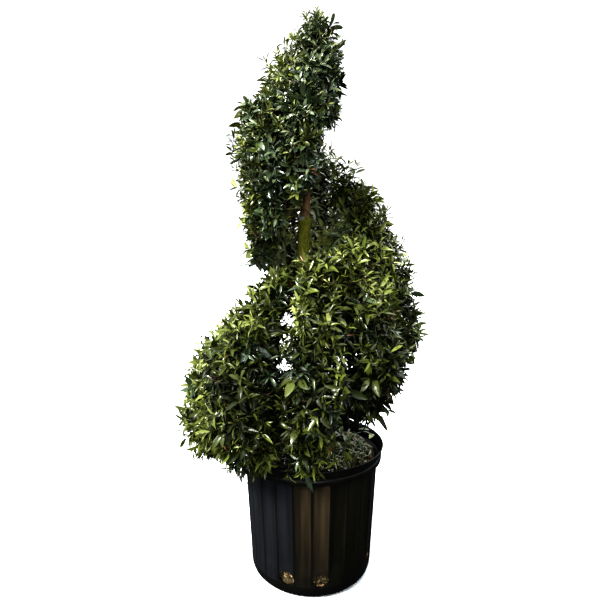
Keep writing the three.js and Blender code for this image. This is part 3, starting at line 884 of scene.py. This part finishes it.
def shoots_at(points, normals, thickness, buried, high):
    """Shoots that end under the skin, pointing out of it and turning up to the light."""
    count, height = len(points), points[:, 2]
    leaf = mix(*LEAF_LENGTH, high) * varied(count, 0.18, 0.62, 1.45)
    front = hump(azimuth(points), 262, 32) * hump(height, 0.52, 0.16)
    large = rng.random(count) < (LARGE_SHARE + 0.16 * front) * (height < 1.0)
    leaf = np.where(large, LARGE_LEAF * varied(count, 0.07), leaf)
    length = np.minimum(mix(*SHOOT_LENGTH, high) * varied(count, 0.2), 0.45 * thickness + 0.01)
    below = smooth(-normals[:, 2], 0.0, 0.8)
    heading = normals * (1 - 0.35 * below)[:, None] + UP * (0.45 - 0.25 * below)[:, None]
    heading = unit(heading + outward_at(points) * (0.35 * below)[:, None] + jitter(count, 0.38))
    hanging = (1 - high) * (0.16 + 0.42 * below + 0.30 * hump(height, 0.45, 0.14))
    droop = (hanging + 0.05 + 0.20 * high * below) * rng.uniform(0.4, 1.6, count)
    proud = rng.normal(-0.003, 0.008, count) + (rng.random(count) < 0.07) * rng.uniform(0.006, 0.020, count)
    clumps = patches(points, 0.050, 5.0)
    proud = proud + 0.010 * clumps - 0.010 * below
    for direction, width, level, tall, depth in CLIPPED_BACK:
        apart = (azimuth(points) - direction + 180) % 360 - 180
        proud = proud - depth * hump(apart, 0.0, width) * hump(height, level, tall)
    if buried:
        heading = unit(heading + jitter(count, 0.5))
        proud = -np.minimum(rng.uniform(0.045, 0.090, count), 0.40 * thickness)
    tip = points + normals * (proud - leaf * 0.50)[:, None]
    ratio = (mix(*LEAF_RATIO, high) + 0.08 * large) * varied(count, 0.07)
    # Clumps that stand proud get lighter leaves and sunken ones darker: painted light and painted shade.
    tone = tone_and_painted_light(points, normals) + 0.12 * clumps + rng.normal(0, mix(0.17, 0.11, high), count)
    # Large low shoots get lighter leaves, partly standing in for their highlights; buried shoots get darker
    # leaves, partly older and partly painted shade.
    tone = tone + 0.10 * (large & (height < 0.60)) - (mix(0.70, 0.35, high) if buried else 0.0)
    return {
        "foot": tip - heading * length[:, None], "heading": heading, "length": length, "leaf": leaf,
        "ratio": ratio, "droop": droop, "tone": tone,
        "gap": mix(*NODE_GAP, high) * (1.25 if buried else 1.0) * (1 + 0.4 * large),
        "cool": rng.random(count) < coolness(points, normals, high),
        "bronze": np.full(count, 0.3 if buried else 1.0), "in_pot": np.zeros(count, bool),
    }


def merged(sets):
    return {key: np.concatenate([s[key] for s in sets]) for key in sets[0]}


def crown_shoots(name):
    """The shoots of a mass: an even cover under its skin, and fewer ones deeper in, darker partly
    as older leaves and partly as painted shade.
    """
    corners, normal, area, tree = skin_of(name)
    middle = corners.mean(axis=1)
    high = UPPER_SHARE.get(name, 0.0)
    gap = mix(*SHOOT_GAP, high) * LOOSENESS.get(name, 1.0)
    inner = faces_stem(middle, normal) & (from_axis(middle) < 0.16)
    weight = area * np.where(inner, mix(0.3, 1.0, smooth(middle[:, 2], 0.80, 0.95)), 1.0)
    count = int((weight / gap**2).sum() * TRIES) + 40
    points, normals = sample_skin(corners, normal, weight, count)
    kept = spaced(points, gap)
    points, normals = points[kept], normals[kept]
    thickness = depth_under(points, normals, tree)
    deep = len(points) - 1 - spaced(points[::-1], INNER_GAP)
    outer = shoots_at(points, normals, thickness, False, high)
    return merged([outer, shoots_at(points[deep], normals[deep], thickness[deep], True, high)])


def fork(limbs, start, heading, feet, headings):
    """Grows limbs from start to the foot of every shoot, parting where the shoots part."""
    if len(feet) == 1:
        limbs.append((start, heading, feet[0], headings[0], 1))
        return
    middle = feet.mean(axis=0)
    node = mix(start, middle, FORK_SHARE * rng.uniform(0.75, 1.25))
    node = node + rng.normal(0, 0.10, 3) * lengths(node - start)
    onward = unit(middle - start)
    limbs.append((start, heading, node, onward, len(feet)))
    along = (feet - middle) @ np.linalg.svd(feet - middle, full_matrices=False)[2][0]
    left = along < np.quantile(along, rng.uniform(0.35, 0.65))
    if left.all() or not left.any():
        left = np.arange(len(feet)) < len(feet) // 2
    for side in (left, ~left):
        fork(limbs, node, onward, feet[side], headings[side])


def limb_tubes(limbs, thickness):
    """Limbs as tubes whose girth follows how many shoots they carry."""
    start, leave, end, arrive = (np.array([limb[i] for limb in limbs]) for i in range(4))
    carried = np.array([limb[4] for limb in limbs])
    reach = lengths(end - start)[:, None]
    leave = unit(0.6 * leave + 0.6 * unit(end - start)) * reach
    girth = np.maximum(thickness * (carried / carried.max()) ** GIRTH_POWER, LEAST_GIRTH)
    kinds = np.where(carried >= BROWN_LIMB, 2, 1)
    batches = []
    for chosen, steps, sides in ((carried >= THICK_LIMB, 7, 7), (carried < THICK_LIMB, 4, 3)):
        if chosen.any():
            ends = (start[chosen], leave[chosen], end[chosen], arrive[chosen] * reach[chosen])
            radii = girth[chosen, None] * np.linspace(1.10, 0.90, steps)[None]
            batches.append(tubes(hermite(*ends, steps), radii, sides, kinds[chosen]))
    return batches


def leader_roots(name):
    """Where a mass without a bough grows from: points up the leader, each with its own share."""
    low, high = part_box(f"foliage_{name}")
    bottom = max(low.z, LEADER_FOOT) + 0.01
    top = min(high.z, TRUNK_LEVELS[-1]) - 0.02
    return trunk_at(np.linspace(bottom, top, max(3, int((top - bottom) / LEADER_STEP))))


def grow_mass(name, bough_ends, shoots):
    limbs = []
    feet, headings = shoots["foot"], shoots["heading"]
    if name in bough_ends:
        root, heading, thickness = bough_ends[name]
        fork(limbs, root - heading * 0.004, heading, feet, headings)
        return limb_tubes(limbs, thickness * 0.95)
    roots = leader_roots(name)
    from_below = feet[:, 2] - 0.4 * lengths(feet[:, :2] - roots[0, :2])
    nearest = np.argmin(np.abs(from_below[:, None] - roots[None, :, 2]), axis=1)
    for index, root in enumerate(roots):
        chosen = nearest == index
        if chosen.any():
            onward = unit(feet[chosen].mean(axis=0) - root)
            fork(limbs, root, onward, feet[chosen], headings[chosen])
    return limb_tubes(limbs, LEADER_TWIG)


def extra_shoots(feet, headings, length, leaf, droop, tone, in_pot=False, ratio=LEAF_RATIO[0]):
    """Shoots placed one by one, outside the even cover of the crown."""
    same = {
        "length": length, "leaf": leaf, "ratio": ratio, "droop": droop, "tone": tone,
        "gap": mix(*NODE_GAP, 0.3), "cool": False, "bronze": 0.0, "in_pot": in_pot,
    }
    return {
        "foot": np.array(feet, float), "heading": unit(np.array(headings, float)),
        **{key: np.full(len(feet), value) for key, value in same.items()},
    }


def low_sprays(directions):
    """Loose sprays that hang from the lower left edge of the crown, past its clipped outline."""
    count = len(directions)
    radius = rng.uniform(0.27, 0.325, count)
    feet = polar(radius, directions, rng.uniform(0.425, 0.455, count))
    headings = polar(1.0, directions + rng.normal(0, 14, count), rng.uniform(-0.7, 0.1, count))
    return extra_shoots(feet, headings, 0.042, 0.031, 0.35, 0.42, ratio=0.33)


def hanging_sprays():
    """Long leaves that hang out of the clipped lower edge on the right."""
    count = 13
    share = np.linspace(0, 1, count)[:, None]
    feet = mix(np.array([0.218, -0.050, 0.630]), np.array([0.130, -0.085, 0.505]), share)
    feet = feet + jitter(count, 0.006)
    headings = np.array([0.9, -0.25, -0.35]) + jitter(count, 0.2)
    return extra_shoots(feet, headings, 0.040, 0.050, 0.45, 0.24, ratio=0.25)


def notch_sprays():
    """Upright sprays between the lower turn's top and the upper turn."""
    count = 30
    share = rng.random((count, 1))
    feet = mix(np.array([0.035, 0.075, 1.184]), np.array([0.155, 0.085, 1.094]), share)
    feet = feet + jitter(count, 1.0) * np.array([0.012, 0.026, 0.020])
    headings = np.array([0.15, -0.4, 1.0]) + jitter(count, 0.3)
    # Their light tone is partly painted light, as they stand in shade under the upper turn.
    return extra_shoots(feet, headings, 0.046, 0.036, 0.1, 0.68, ratio=0.38)


def special_shoots():
    """By mass, the shoots that stand out from the rest."""
    return {
        "low_left": low_sprays(np.linspace(178, 206, 9)),
        "low_front_left": low_sprays(np.linspace(207, 222, 4)),
        "low_front": extra_shoots(
            [(-0.030, -0.215, 0.430), (0.005, -0.222, 0.425), (-0.060, -0.220, 0.425)],
            [(0.1, -0.4, -1), (0.3, -0.3, -1), (-0.2, -0.4, -1)],
            0.035, 0.034, 0.5, 0.55, in_pot=True, ratio=0.32),
        "low_front_right": extra_shoots(
            [(0.052, -0.180, 0.445), (0.078, -0.120, 0.430)], [(0.2, -0.2, -1), (0.5, -0.3, -0.8)],
            0.040, 0.040, 0.4, 0.80, in_pot=True, ratio=0.28),
        "low_right": hanging_sprays(),
        "mid_right": extra_shoots(
            [(0.262, 0.000, 0.905), (0.268, 0.010, 0.890)], [(1, -0.2, 0.5), (1, -0.3, 0.1)],
            0.030, 0.034, 0.1, 0.55),
        "mid_back": notch_sprays(),
        "mid_left": extra_shoots(
            [(-0.196, -0.030, 1.138), (-0.178, -0.020, 1.040), (-0.168, 0.010, 0.965)],
            [(-1, -0.3, 0.2), (-1, -0.2, 0.3), (-1, -0.3, 0.1)], 0.020, 0.036, 0.1, 0.82, ratio=0.46),
        "high_front": extra_shoots(
            [(-0.010, -0.040, 1.122)], [(0.12, -0.35, 1)], 0.062, 0.032, 0.0, 0.92, ratio=0.30),
        "tip": extra_shoots(
            [(0.006, -0.004, 1.586), (-0.008, -0.006, 1.580)], [(0.12, -0.1, 1), (-0.3, -0.2, 1)],
            0.040, 0.024, 0.0, 0.90, ratio=0.34),
    }


def special_leaves():
    """By mass, the single leaves that stand out: long and drooping, dark below the pot's left rim,
    over the front of the band and out to the right."""
    return {
        "low_front_left": lone_leaves(
            [(-0.214, -0.100, 0.352), (-0.206, -0.106, 0.345), (-0.200, -0.125, 0.350)],
            [(-0.196, -0.108, 0.288), (-0.199, -0.112, 0.302), (-0.190, -0.140, 0.305)],
            0.012, 0.3, COOL, (-1, -0.3, 0.2)),
        "low_front": lone_leaves(
            [(-0.020, -0.222, 0.392), (-0.016, -0.224, 0.394)],
            [(-0.001, -0.229, 0.340), (-0.012, -0.228, 0.352)], 0.013, 0.3, COOL + 1, (0, -1, 0.2)),
        "low_right": lone_leaves(
            [(0.158, -0.050, 0.506), (0.118, -0.055, 0.502), (0.125, -0.060, 0.486),
             (0.150, -0.035, 0.428), (0.141, -0.023, 0.428), (0.134, -0.050, 0.412),
             (0.150, -0.060, 0.398)],
            [(0.223, -0.050, 0.428), (0.178, -0.055, 0.474), (0.158, -0.060, 0.487),
             (0.196, -0.022, 0.398), (0.176, -0.020, 0.424), (0.150, -0.062, 0.374),
             (0.178, -0.066, 0.388)],
            0.015, 0.55, [COOL, 1, 3, 5, 4, COOL + 3, 3]),
        "mid_right": lone_leaves(
            [(0.158, -0.060, 0.515), (0.237, -0.050, 0.572), (0.223, -0.050, 0.566),
             (0.216, -0.050, 0.560), (0.204, -0.060, 0.528), (0.214, -0.060, 0.512),
             (0.222, -0.060, 0.500)],
            [(0.226, -0.055, 0.432), (0.266, -0.050, 0.538), (0.250, -0.050, 0.528),
             (0.243, -0.050, 0.508), (0.226, -0.064, 0.516), (0.222, -0.064, 0.482),
             (0.246, -0.060, 0.492)],
            [0.022, 0.010, 0.010, 0.010, 0.012, 0.014, 0.010], 0.7, [1, COOL, 1, COOL, 3, 4, 2],
            (0.5, -0.7, 0.6)),
    }


def bare_twigs(feet, ends, thickness):
    """Thin bare twigs that show in a gap of the crown."""
    feet, ends = np.array(feet), np.array(ends)
    lines = hermite(feet, ends - feet, ends, (ends - feet) * 0.8 + UP * 0.01, 5)
    return tubes(lines, np.tile(np.linspace(1.2, 0.8, 5) * thickness, (len(feet), 1)), 5, 1)


def special_twigs():
    """By mass, the bare twigs: in the notch below the upper turn, and fanning out left of the collar."""
    return {
        "mid_back": bare_twigs(
            [(0.036, 0.110, 1.215), (0.058, 0.110, 1.215), (0.060, 0.104, 1.262), (0.035, 0.096, 1.270)],
            [(0.037, 0.070, 1.335), (0.063, 0.085, 1.300), (0.069, 0.098, 1.282), (0.028, 0.088, 1.290)],
            0.0013),
        "mid_left": bare_twigs(
            [(-0.036, -0.022, 1.056), (-0.040, -0.024, 1.062), (-0.038, -0.034, 1.100)],
            [(-0.096, -0.040, 1.090), (-0.060, -0.034, 1.100), (0.004, -0.030, 1.064)], 0.0020),
    }


def leaf_batches(leaf, chosen):
    """The chosen leaves, each in the outline for its size and breadth."""
    large = leaf["length"] > LARGE_LEAF * 0.85
    broad = leaf["width"] / leaf["length"] > BROAD_RATIO
    batches = []
    for outline, alike in (SMALL_LEAF, ~large & ~broad), (BROAD_LEAF, ~large & broad), (LONG_LEAF, large):
        these = alike & chosen
        if these.any():
            rows = {key: value[these] for key, value in leaf.items() if key != "in_pot"}
            batches.append(leaf_batch(outline, **rows))
    return batches


def build_sprays(name, shoots, limb_batches, leaf_looks, twig_looks, lone):
    """The leaves of a mass as one piece, and its stems and limbs as another."""
    lines = shoot_lines(shoots)
    leaf = leaves_on(shoots, lines)
    if lone is not None:
        leaf = merged([leaf, lone])
    leaves = joined(leaf_batches(leaf, leaf_fits(leaf)))
    add_mesh(f"leaves_{name}", leaves, leaf_looks, [f"foliage_{name}"])
    radii = np.tile(np.linspace(*SHOOT_RADIUS, lines.shape[1]), (len(lines), 1))
    kinds = (rng.random(len(lines)) < 0.35).astype(int)
    stems = joined([*limb_batches, tubes(lines, radii, 3, kinds)])
    add_mesh(f"twigs_{name}", stems, twig_looks)


def build_crown(bough_ends, leaf_looks, twig_looks):
    special, lone, bare = special_shoots(), special_leaves(), special_twigs()
    for name in MASSES:
        shoots = crown_shoots(name)
        if name in special:
            shoots = merged([shoots, special[name]])
        limbs = grow_mass(name, bough_ends, shoots)
        if name in bare:
            limbs.append(bare[name])
        build_sprays(name, shoots, limbs, leaf_looks, twig_looks, lone.get(name))


def on_soil(count, reach):
    """Places strewn evenly over the soil."""
    points = polar(reach * np.sqrt(rng.random(count)), rng.uniform(0, 360, count), 0.0)
    return points + UP * soil_height(points)[:, None]


def build_litter(leaf_looks):
    """Fallen and low leaves on the soil, lying every way, and one young leaf caught on the rim."""
    feet = on_soil(LITTER, 0.186) + UP * rng.uniform(0.001, 0.010, (LITTER, 1))
    away = polar(1.0, rng.uniform(0, 360, LITTER), 0.0) + UP * rng.uniform(-0.05, 0.75, (LITTER, 1))
    tips = feet + away * rng.uniform(0.016, 0.040, (LITTER, 1))
    kept = from_axis(tips) < 0.190
    kinds = rng.choice(list(LITTER_MIX), kept.sum(), p=list(LITTER_MIX.values()))
    litter = lone_leaves(feet[kept], tips[kept], 0.0075, 0.5, kinds)
    caught = lone_leaves([(0.180, 0.010, 0.384)], [(0.197, 0.035, 0.389)], 0.016, 0.4, 6)
    leaf = merged([litter, caught])
    del leaf["in_pot"]
    add_mesh("leaves_fallen", leaf_batch(BROAD_LEAF, **leaf), leaf_looks)


# ---------------------------------------------------------------- pot


def across_panel(around):
    """0 in the middle of a panel, 1 on a ridge."""
    return np.abs((around - FIRST_RIDGE) % PITCH - PITCH / 2) / (PITCH / 2)


def panel_recess(height, around):
    """How deep the wall lies under its ridges: flat panels with crisp edges and rounded corners."""
    across = across_panel(around)
    sideways = (1 - across) * math.pi * WALL_TOP_RADIUS / PANELS - RIDGE_HALF_WIDTH
    top = BAND_FOOT - 0.009 - height
    corner = 0.012
    inset = np.hypot(np.minimum(sideways - corner, 0), np.minimum(top - corner, 0))
    inside = np.where((sideways < corner) & (top < corner), corner - inset, np.minimum(sideways, top))
    depth = mix(PANEL_DEPTH, PANEL_EDGE_DEPTH, across**2)
    return depth * smooth(inside, -0.0004, 0.0018) * smooth(height, 0.062, 0.105)


# Parts of the pot's section: out from the foot's radius and up from the ground, out from the foot
# of the wall and up from the ground, and out from the rim's radius and up from the foot of the band
FOOT_STEPS = [(-0.012, 0.006), (-0.008, 0.0015), (-0.003, 0.0), (0.003, 0.0008), (0.0085, 0.0035)]
HEEL_STEPS = [(-0.0045, 0.010), (-0.0015, 0.018)]
BAND_STEPS = [
    (-0.0085, 0.0), (-0.0060, 0.002), (-0.0054, 0.007), (-0.0050, 0.0145), (-0.0062, 0.0165),
    (-0.0086, 0.0180), (-0.0088, 0.0195), (-0.0064, 0.0210), (-0.0044, 0.0235), (-0.0036, 0.030),
    (-0.0030, 0.0375), (-0.0010, 0.0395), (0.0, 0.0412), (-0.0004, 0.0426), (-0.0014, 0.043),
    (-0.0030, 0.0424), (-0.0045, 0.039), (-0.0072, 0.024), (-0.0112, 0.015), (-0.0095, 0.007),
    (-0.0125, 0.002),
]
BOTTOM_STEPS = [(-0.004, 0.006), (-0.016, 0.009)]


def pot_profile():
    """Radius and height from the middle of the foot out, up the wall and band and down inside."""
    steps = np.linspace(0, 1, 46)
    wall = np.stack([mix(WALL_FOOT_RADIUS, WALL_TOP_RADIUS, steps), mix(0.030, BAND_FOOT - 0.005, steps)], -1)
    top = np.array([WALL_TOP_RADIUS, BAND_FOOT])
    return np.concatenate([
        FOOT_STEPS + np.array([FOOT_RADIUS, 0.0]), HEEL_STEPS + np.array([WALL_FOOT_RADIUS, 0.0]), wall,
        top + [(0.001, -0.003), (0.005, -0.0012)], BAND_STEPS + np.array([RIM_RADIUS, BAND_FOOT]),
        top + [(-0.003, -0.004)], wall[-2:1:-1] - [(WALL, 0.0)],
        BOTTOM_STEPS + np.array([FOOT_RADIUS, 0.0]),
    ])


def hole_cutter(degrees):
    """A slightly ragged round cutter for one drain hole."""
    sides = 28
    turn = np.linspace(0, 2 * math.pi, sides, endpoint=False)
    radius = HOLE_RADIUS * (1 + 0.05 * np.sin(3 * turn + degrees) + rng.normal(0, 0.02, sides))
    sideways = polar(1.0, degrees + 90, 0.0) * (radius * np.cos(turn))[:, None]
    ring = sideways + UP * (HOLE_HEIGHT + radius * np.sin(turn))[:, None]
    points = [ring + polar(WALL_FOOT_RADIUS + out, degrees, 0.0) for out in (-0.03, 0.03)]
    return np.concatenate(points), closed_tube(2, sides)


# From which azimuth to which the panels have which plastic, where it shows: the painted
# reflections of the front panels
SEEN_PANELS = [(254, 284, 1), (196, 254, 2), (284, 345, 3)]


def panel_looks(around):
    """The plastic of each upright strip: black ridges, panels brown in front with a dusting and a
    painted warm reflection, blue-grey to the left and olive to the right as painted reflections,
    and any of them elsewhere."""
    panel = ((around - FIRST_RIDGE) // PITCH).astype(int) % PANELS
    middle = (FIRST_RIDGE + (panel + 0.5) * PITCH) % 360
    look = np.random.default_rng(SEED).choice(4, PANELS, p=[0.2, 0.3, 0.2, 0.3])[panel]
    for first, last, plastic in SEEN_PANELS:
        look = np.where((middle > first) & (middle < last), plastic, look)
    return np.where(across_panel(around) > 0.86, 0, look)


def build_pot(plastics):
    columns = PANELS * 16
    around = FIRST_RIDGE + 360 * np.arange(columns) / columns
    out, height = pot_profile().T
    in_wall = (out > WALL_FOOT_RADIUS - WALL - 0.001) & (height < BAND_FOOT)
    recess = panel_recess(height[:, None], around[None, :]) * in_wall[:, None]
    sway = 0.0009 * np.sin(np.radians(2 * around + 40)) * smooth(height[:, None], 0.05, 0.38)
    points = turned_round(out[:, None] - recess + sway, around, height)
    walled = (height[:-1] > 0.03) & (height[1:] < BAND_FOOT) & (height[:-1] < height[1:])
    looks = (walled[:, None] * panel_looks(around + 180 / columns)[None, :]).ravel()
    shell = (points, closed_tube(len(out), columns, looks))
    pot = add_mesh("pot_shell", shell, plastics, ["pot"])
    cutters = joined([hole_cutter(degrees) for degrees in HOLE_AZIMUTHS])
    cutter = add_mesh("hole_cutter", cutters, plastics)
    cut = pot.modifiers.new("drain_holes", "BOOLEAN")
    cut.object = cutter
    cut.solver = "EXACT"
    apply_modifiers(pot)
    bpy.data.objects.remove(cutter)
    pot.data.polygons.foreach_set("use_smooth", np.ones(len(pot.data.polygons), bool))
    pot.data.set_sharp_from_angle(angle=math.radians(40))


def apply_modifiers(piece):
    graph = bpy.context.evaluated_depsgraph_get()
    shaped = bpy.data.meshes.new_from_object(piece.evaluated_get(graph), depsgraph=graph)
    piece.modifiers.clear()
    piece.data = shaped


# ---------------------------------------------------------------- soil


def soil_height(points):
    mound = mix(SOIL_TOP - 0.001, SOIL_EDGE, smooth(from_axis(points), 0.05, 0.19))
    return mound + 0.0035 * patches(points, 0.03, 4.0) + 0.002 * patches(points, 0.009, 9.0)


def build_soil(material):
    columns, rings = 120, 46
    around = 360 * np.arange(columns) / columns
    gap = PANEL_DEPTH + WALL + 0.0015
    radii = np.linspace(0.004, WALL_TOP_RADIUS - gap, rings)
    top = turned_round(radii[:, None], around, np.zeros(rings))
    top[:, 2] = soil_height(top)
    levels = np.linspace(SOIL_EDGE - 0.006, 0.0075, 70)
    wall = mix(WALL_FOOT_RADIUS, WALL_TOP_RADIUS, (levels - 0.03) / (POT_HEIGHT - 0.075))
    wall = np.minimum(wall - gap, FOOT_RADIUS - 0.006 + 1.4 * (levels - 0.006))
    side = turned_round(wall[:, None], around, levels)
    crumbs = 0.003 * np.abs(patches(side, 0.007, 6.0)) + 0.0035 * np.abs(patches(side, 0.018, 2.0))
    side[:, :2] -= unit(side[:, :2]) * crumbs[:, None]
    groups = [(faces[:, ::-1], 0) for faces, _ in closed_tube(rings + len(levels), columns)]
    add_mesh("soil_crumbs", (np.concatenate([top, side]), groups), [material], ["soil"])


def chips(centres, sizes, kinds):
    """Irregular flakes of bark, one at each centre."""
    count = len(centres)
    cube = np.array([(x, y, z) for z in (-1, 1) for y in (-1, 1) for x in (-1, 1)], float) / 2
    thinner = [np.ones(count), rng.uniform(0.3, 0.7, count), rng.uniform(0.12, 0.3, count)]
    shape = cube[None] * (sizes * thinner).T[:, None] * rng.uniform(0.6, 1.25, (count, 8, 3))
    first = unit(jitter(count, 1.0) * np.array([1, 1, 0.45]))
    second = unit(square_to(jitter(count, 1.0) * np.array([1, 1, 0.45]), first))
    frames = np.stack([first, second, np.cross(first, second)], axis=1)
    points = centres[:, None] + np.einsum("nij,njk->nik", shape, frames)
    faces = np.array([(0, 2, 3, 1), (4, 5, 7, 6), (0, 1, 5, 4), (2, 6, 7, 3), (0, 4, 6, 2), (1, 3, 7, 5)])
    faces = (np.arange(count)[:, None, None] * 8 + faces[None]).reshape(-1, 4)
    return points.reshape(-1, 3), [(faces, np.repeat(kinds, 6))]


def build_chips(looks):
    """Bark flakes on the soil, and more of them behind the drain holes."""
    centres = on_soil(CHIPS, 0.185) + UP * 0.001
    on_top = chips(centres, rng.uniform(0.004, 0.016, CHIPS), rng.choice(3, CHIPS, p=[0.42, 0.26, 0.32]))
    count = CHIPS_PER_HOLE * len(HOLE_AZIMUTHS)
    around = np.repeat(HOLE_AZIMUTHS, CHIPS_PER_HOLE) + rng.normal(0, 3.6, count)
    level = HOLE_HEIGHT + rng.normal(0, 0.010, count)
    inside = polar(WALL_FOOT_RADIUS - rng.uniform(0.006, 0.014, count), around, level)
    in_holes = chips(inside, rng.uniform(0.004, 0.013, count), rng.choice(3, count, p=[0.45, 0.3, 0.25]))
    add_mesh("soil_bark_chips", joined([on_top, in_holes]), looks, shade_smooth=False)


# ---------------------------------------------------------------- studio


def build_floor():
    mesh = bpy.data.meshes.new("floor")
    corners = [(x * FLOOR_REACH, y * FLOOR_REACH, 0) for x, y in [(-1, -1), (1, -1), (1, 1), (-1, 1)]]
    mesh.from_pydata(corners, [], [(0, 1, 2, 3)])
    mesh.materials.append(new_material("floor_white", (0.95, 0.95, 0.95), 0.9, 0.0))
    floor = placed("floor", mesh)
    floor.visible_diffuse = False
    floor.visible_glossy = False


def soft_sun(name, towards, strength, width, colour):
    """A wide, distant softbox, seen in the direction towards and width degrees across."""
    light = bpy.data.lights.new(name, "SUN")
    light.angle = math.radians(width)
    light.energy = strength
    light.color = colour
    placed(name, light).rotation_euler = Vector(towards).to_track_quat("Z", "Y").to_euler()


def build_studio():
    """A surround that is seen as white and lights the plant mostly from above and the left, and
    soft lights."""
    scene = bpy.context.scene
    scene.world = bpy.data.worlds.new("studio")
    scene.world.use_nodes = True
    nodes = Nodes(scene.world, "Generated")
    seen = nodes.tree.nodes["Background"]
    seen.inputs["Color"].default_value = (1, 1, 1, 1)
    rise = nodes.spread(nodes.axis("Z"), SKY_BELOW, SKY_ABOVE, -0.4, 0.9)
    side = nodes.spread(nodes.axis("X"), SKY_LEFT, SKY_RIGHT, -0.8, 0.8)
    sky = {"Color": (0.86, 0.94, 1.0, 1), "Strength": nodes.times(rise, side)}
    both = {1: nodes.add("Background", sky, "Background"), 2: seen.outputs["Background"]}
    to_camera = nodes.add("LightPath", {}, "Is Camera Ray")
    surround = nodes.add("MixShader", {"Fac": to_camera, **both}, "Shader")
    nodes.tree.links.new(surround, nodes.tree.nodes["World Output"].inputs["Surface"])
    for light in LIGHTS:
        soft_sun(*light)
    scene.view_settings.view_transform = "Standard"
    scene.view_settings.look = "High Contrast"
    scene.view_settings.exposure = 0.30


def build_camera():
    camera = bpy.data.cameras.new("camera")
    camera.lens = 28
    camera.sensor_width = 36
    eye = placed("camera", camera)
    eye.location = EYE
    eye.rotation_euler = (math.radians(90 - LOOKING_DOWN), 0, 0)
    bpy.context.scene.camera = eye


# ---------------------------------------------------------------- the whole

build_camera()
build_studio()
build_floor()
build_pot(pot_plastics())
build_soil(potting_soil())
build_chips(plain_materials(CHIP_LOOKS))
MOSSY_BARK = mossy_bark()
build_trunk(MOSSY_BARK)
build_stub(MOSSY_BARK, new_material(*CUT_WOOD))
BOUGH_ENDS = build_boughs(bough_bark())
LEAF_LOOKS = leaf_materials()
build_crown(BOUGH_ENDS, LEAF_LOOKS, plain_materials(TWIG_LOOKS))
build_litter(LEAF_LOOKS)
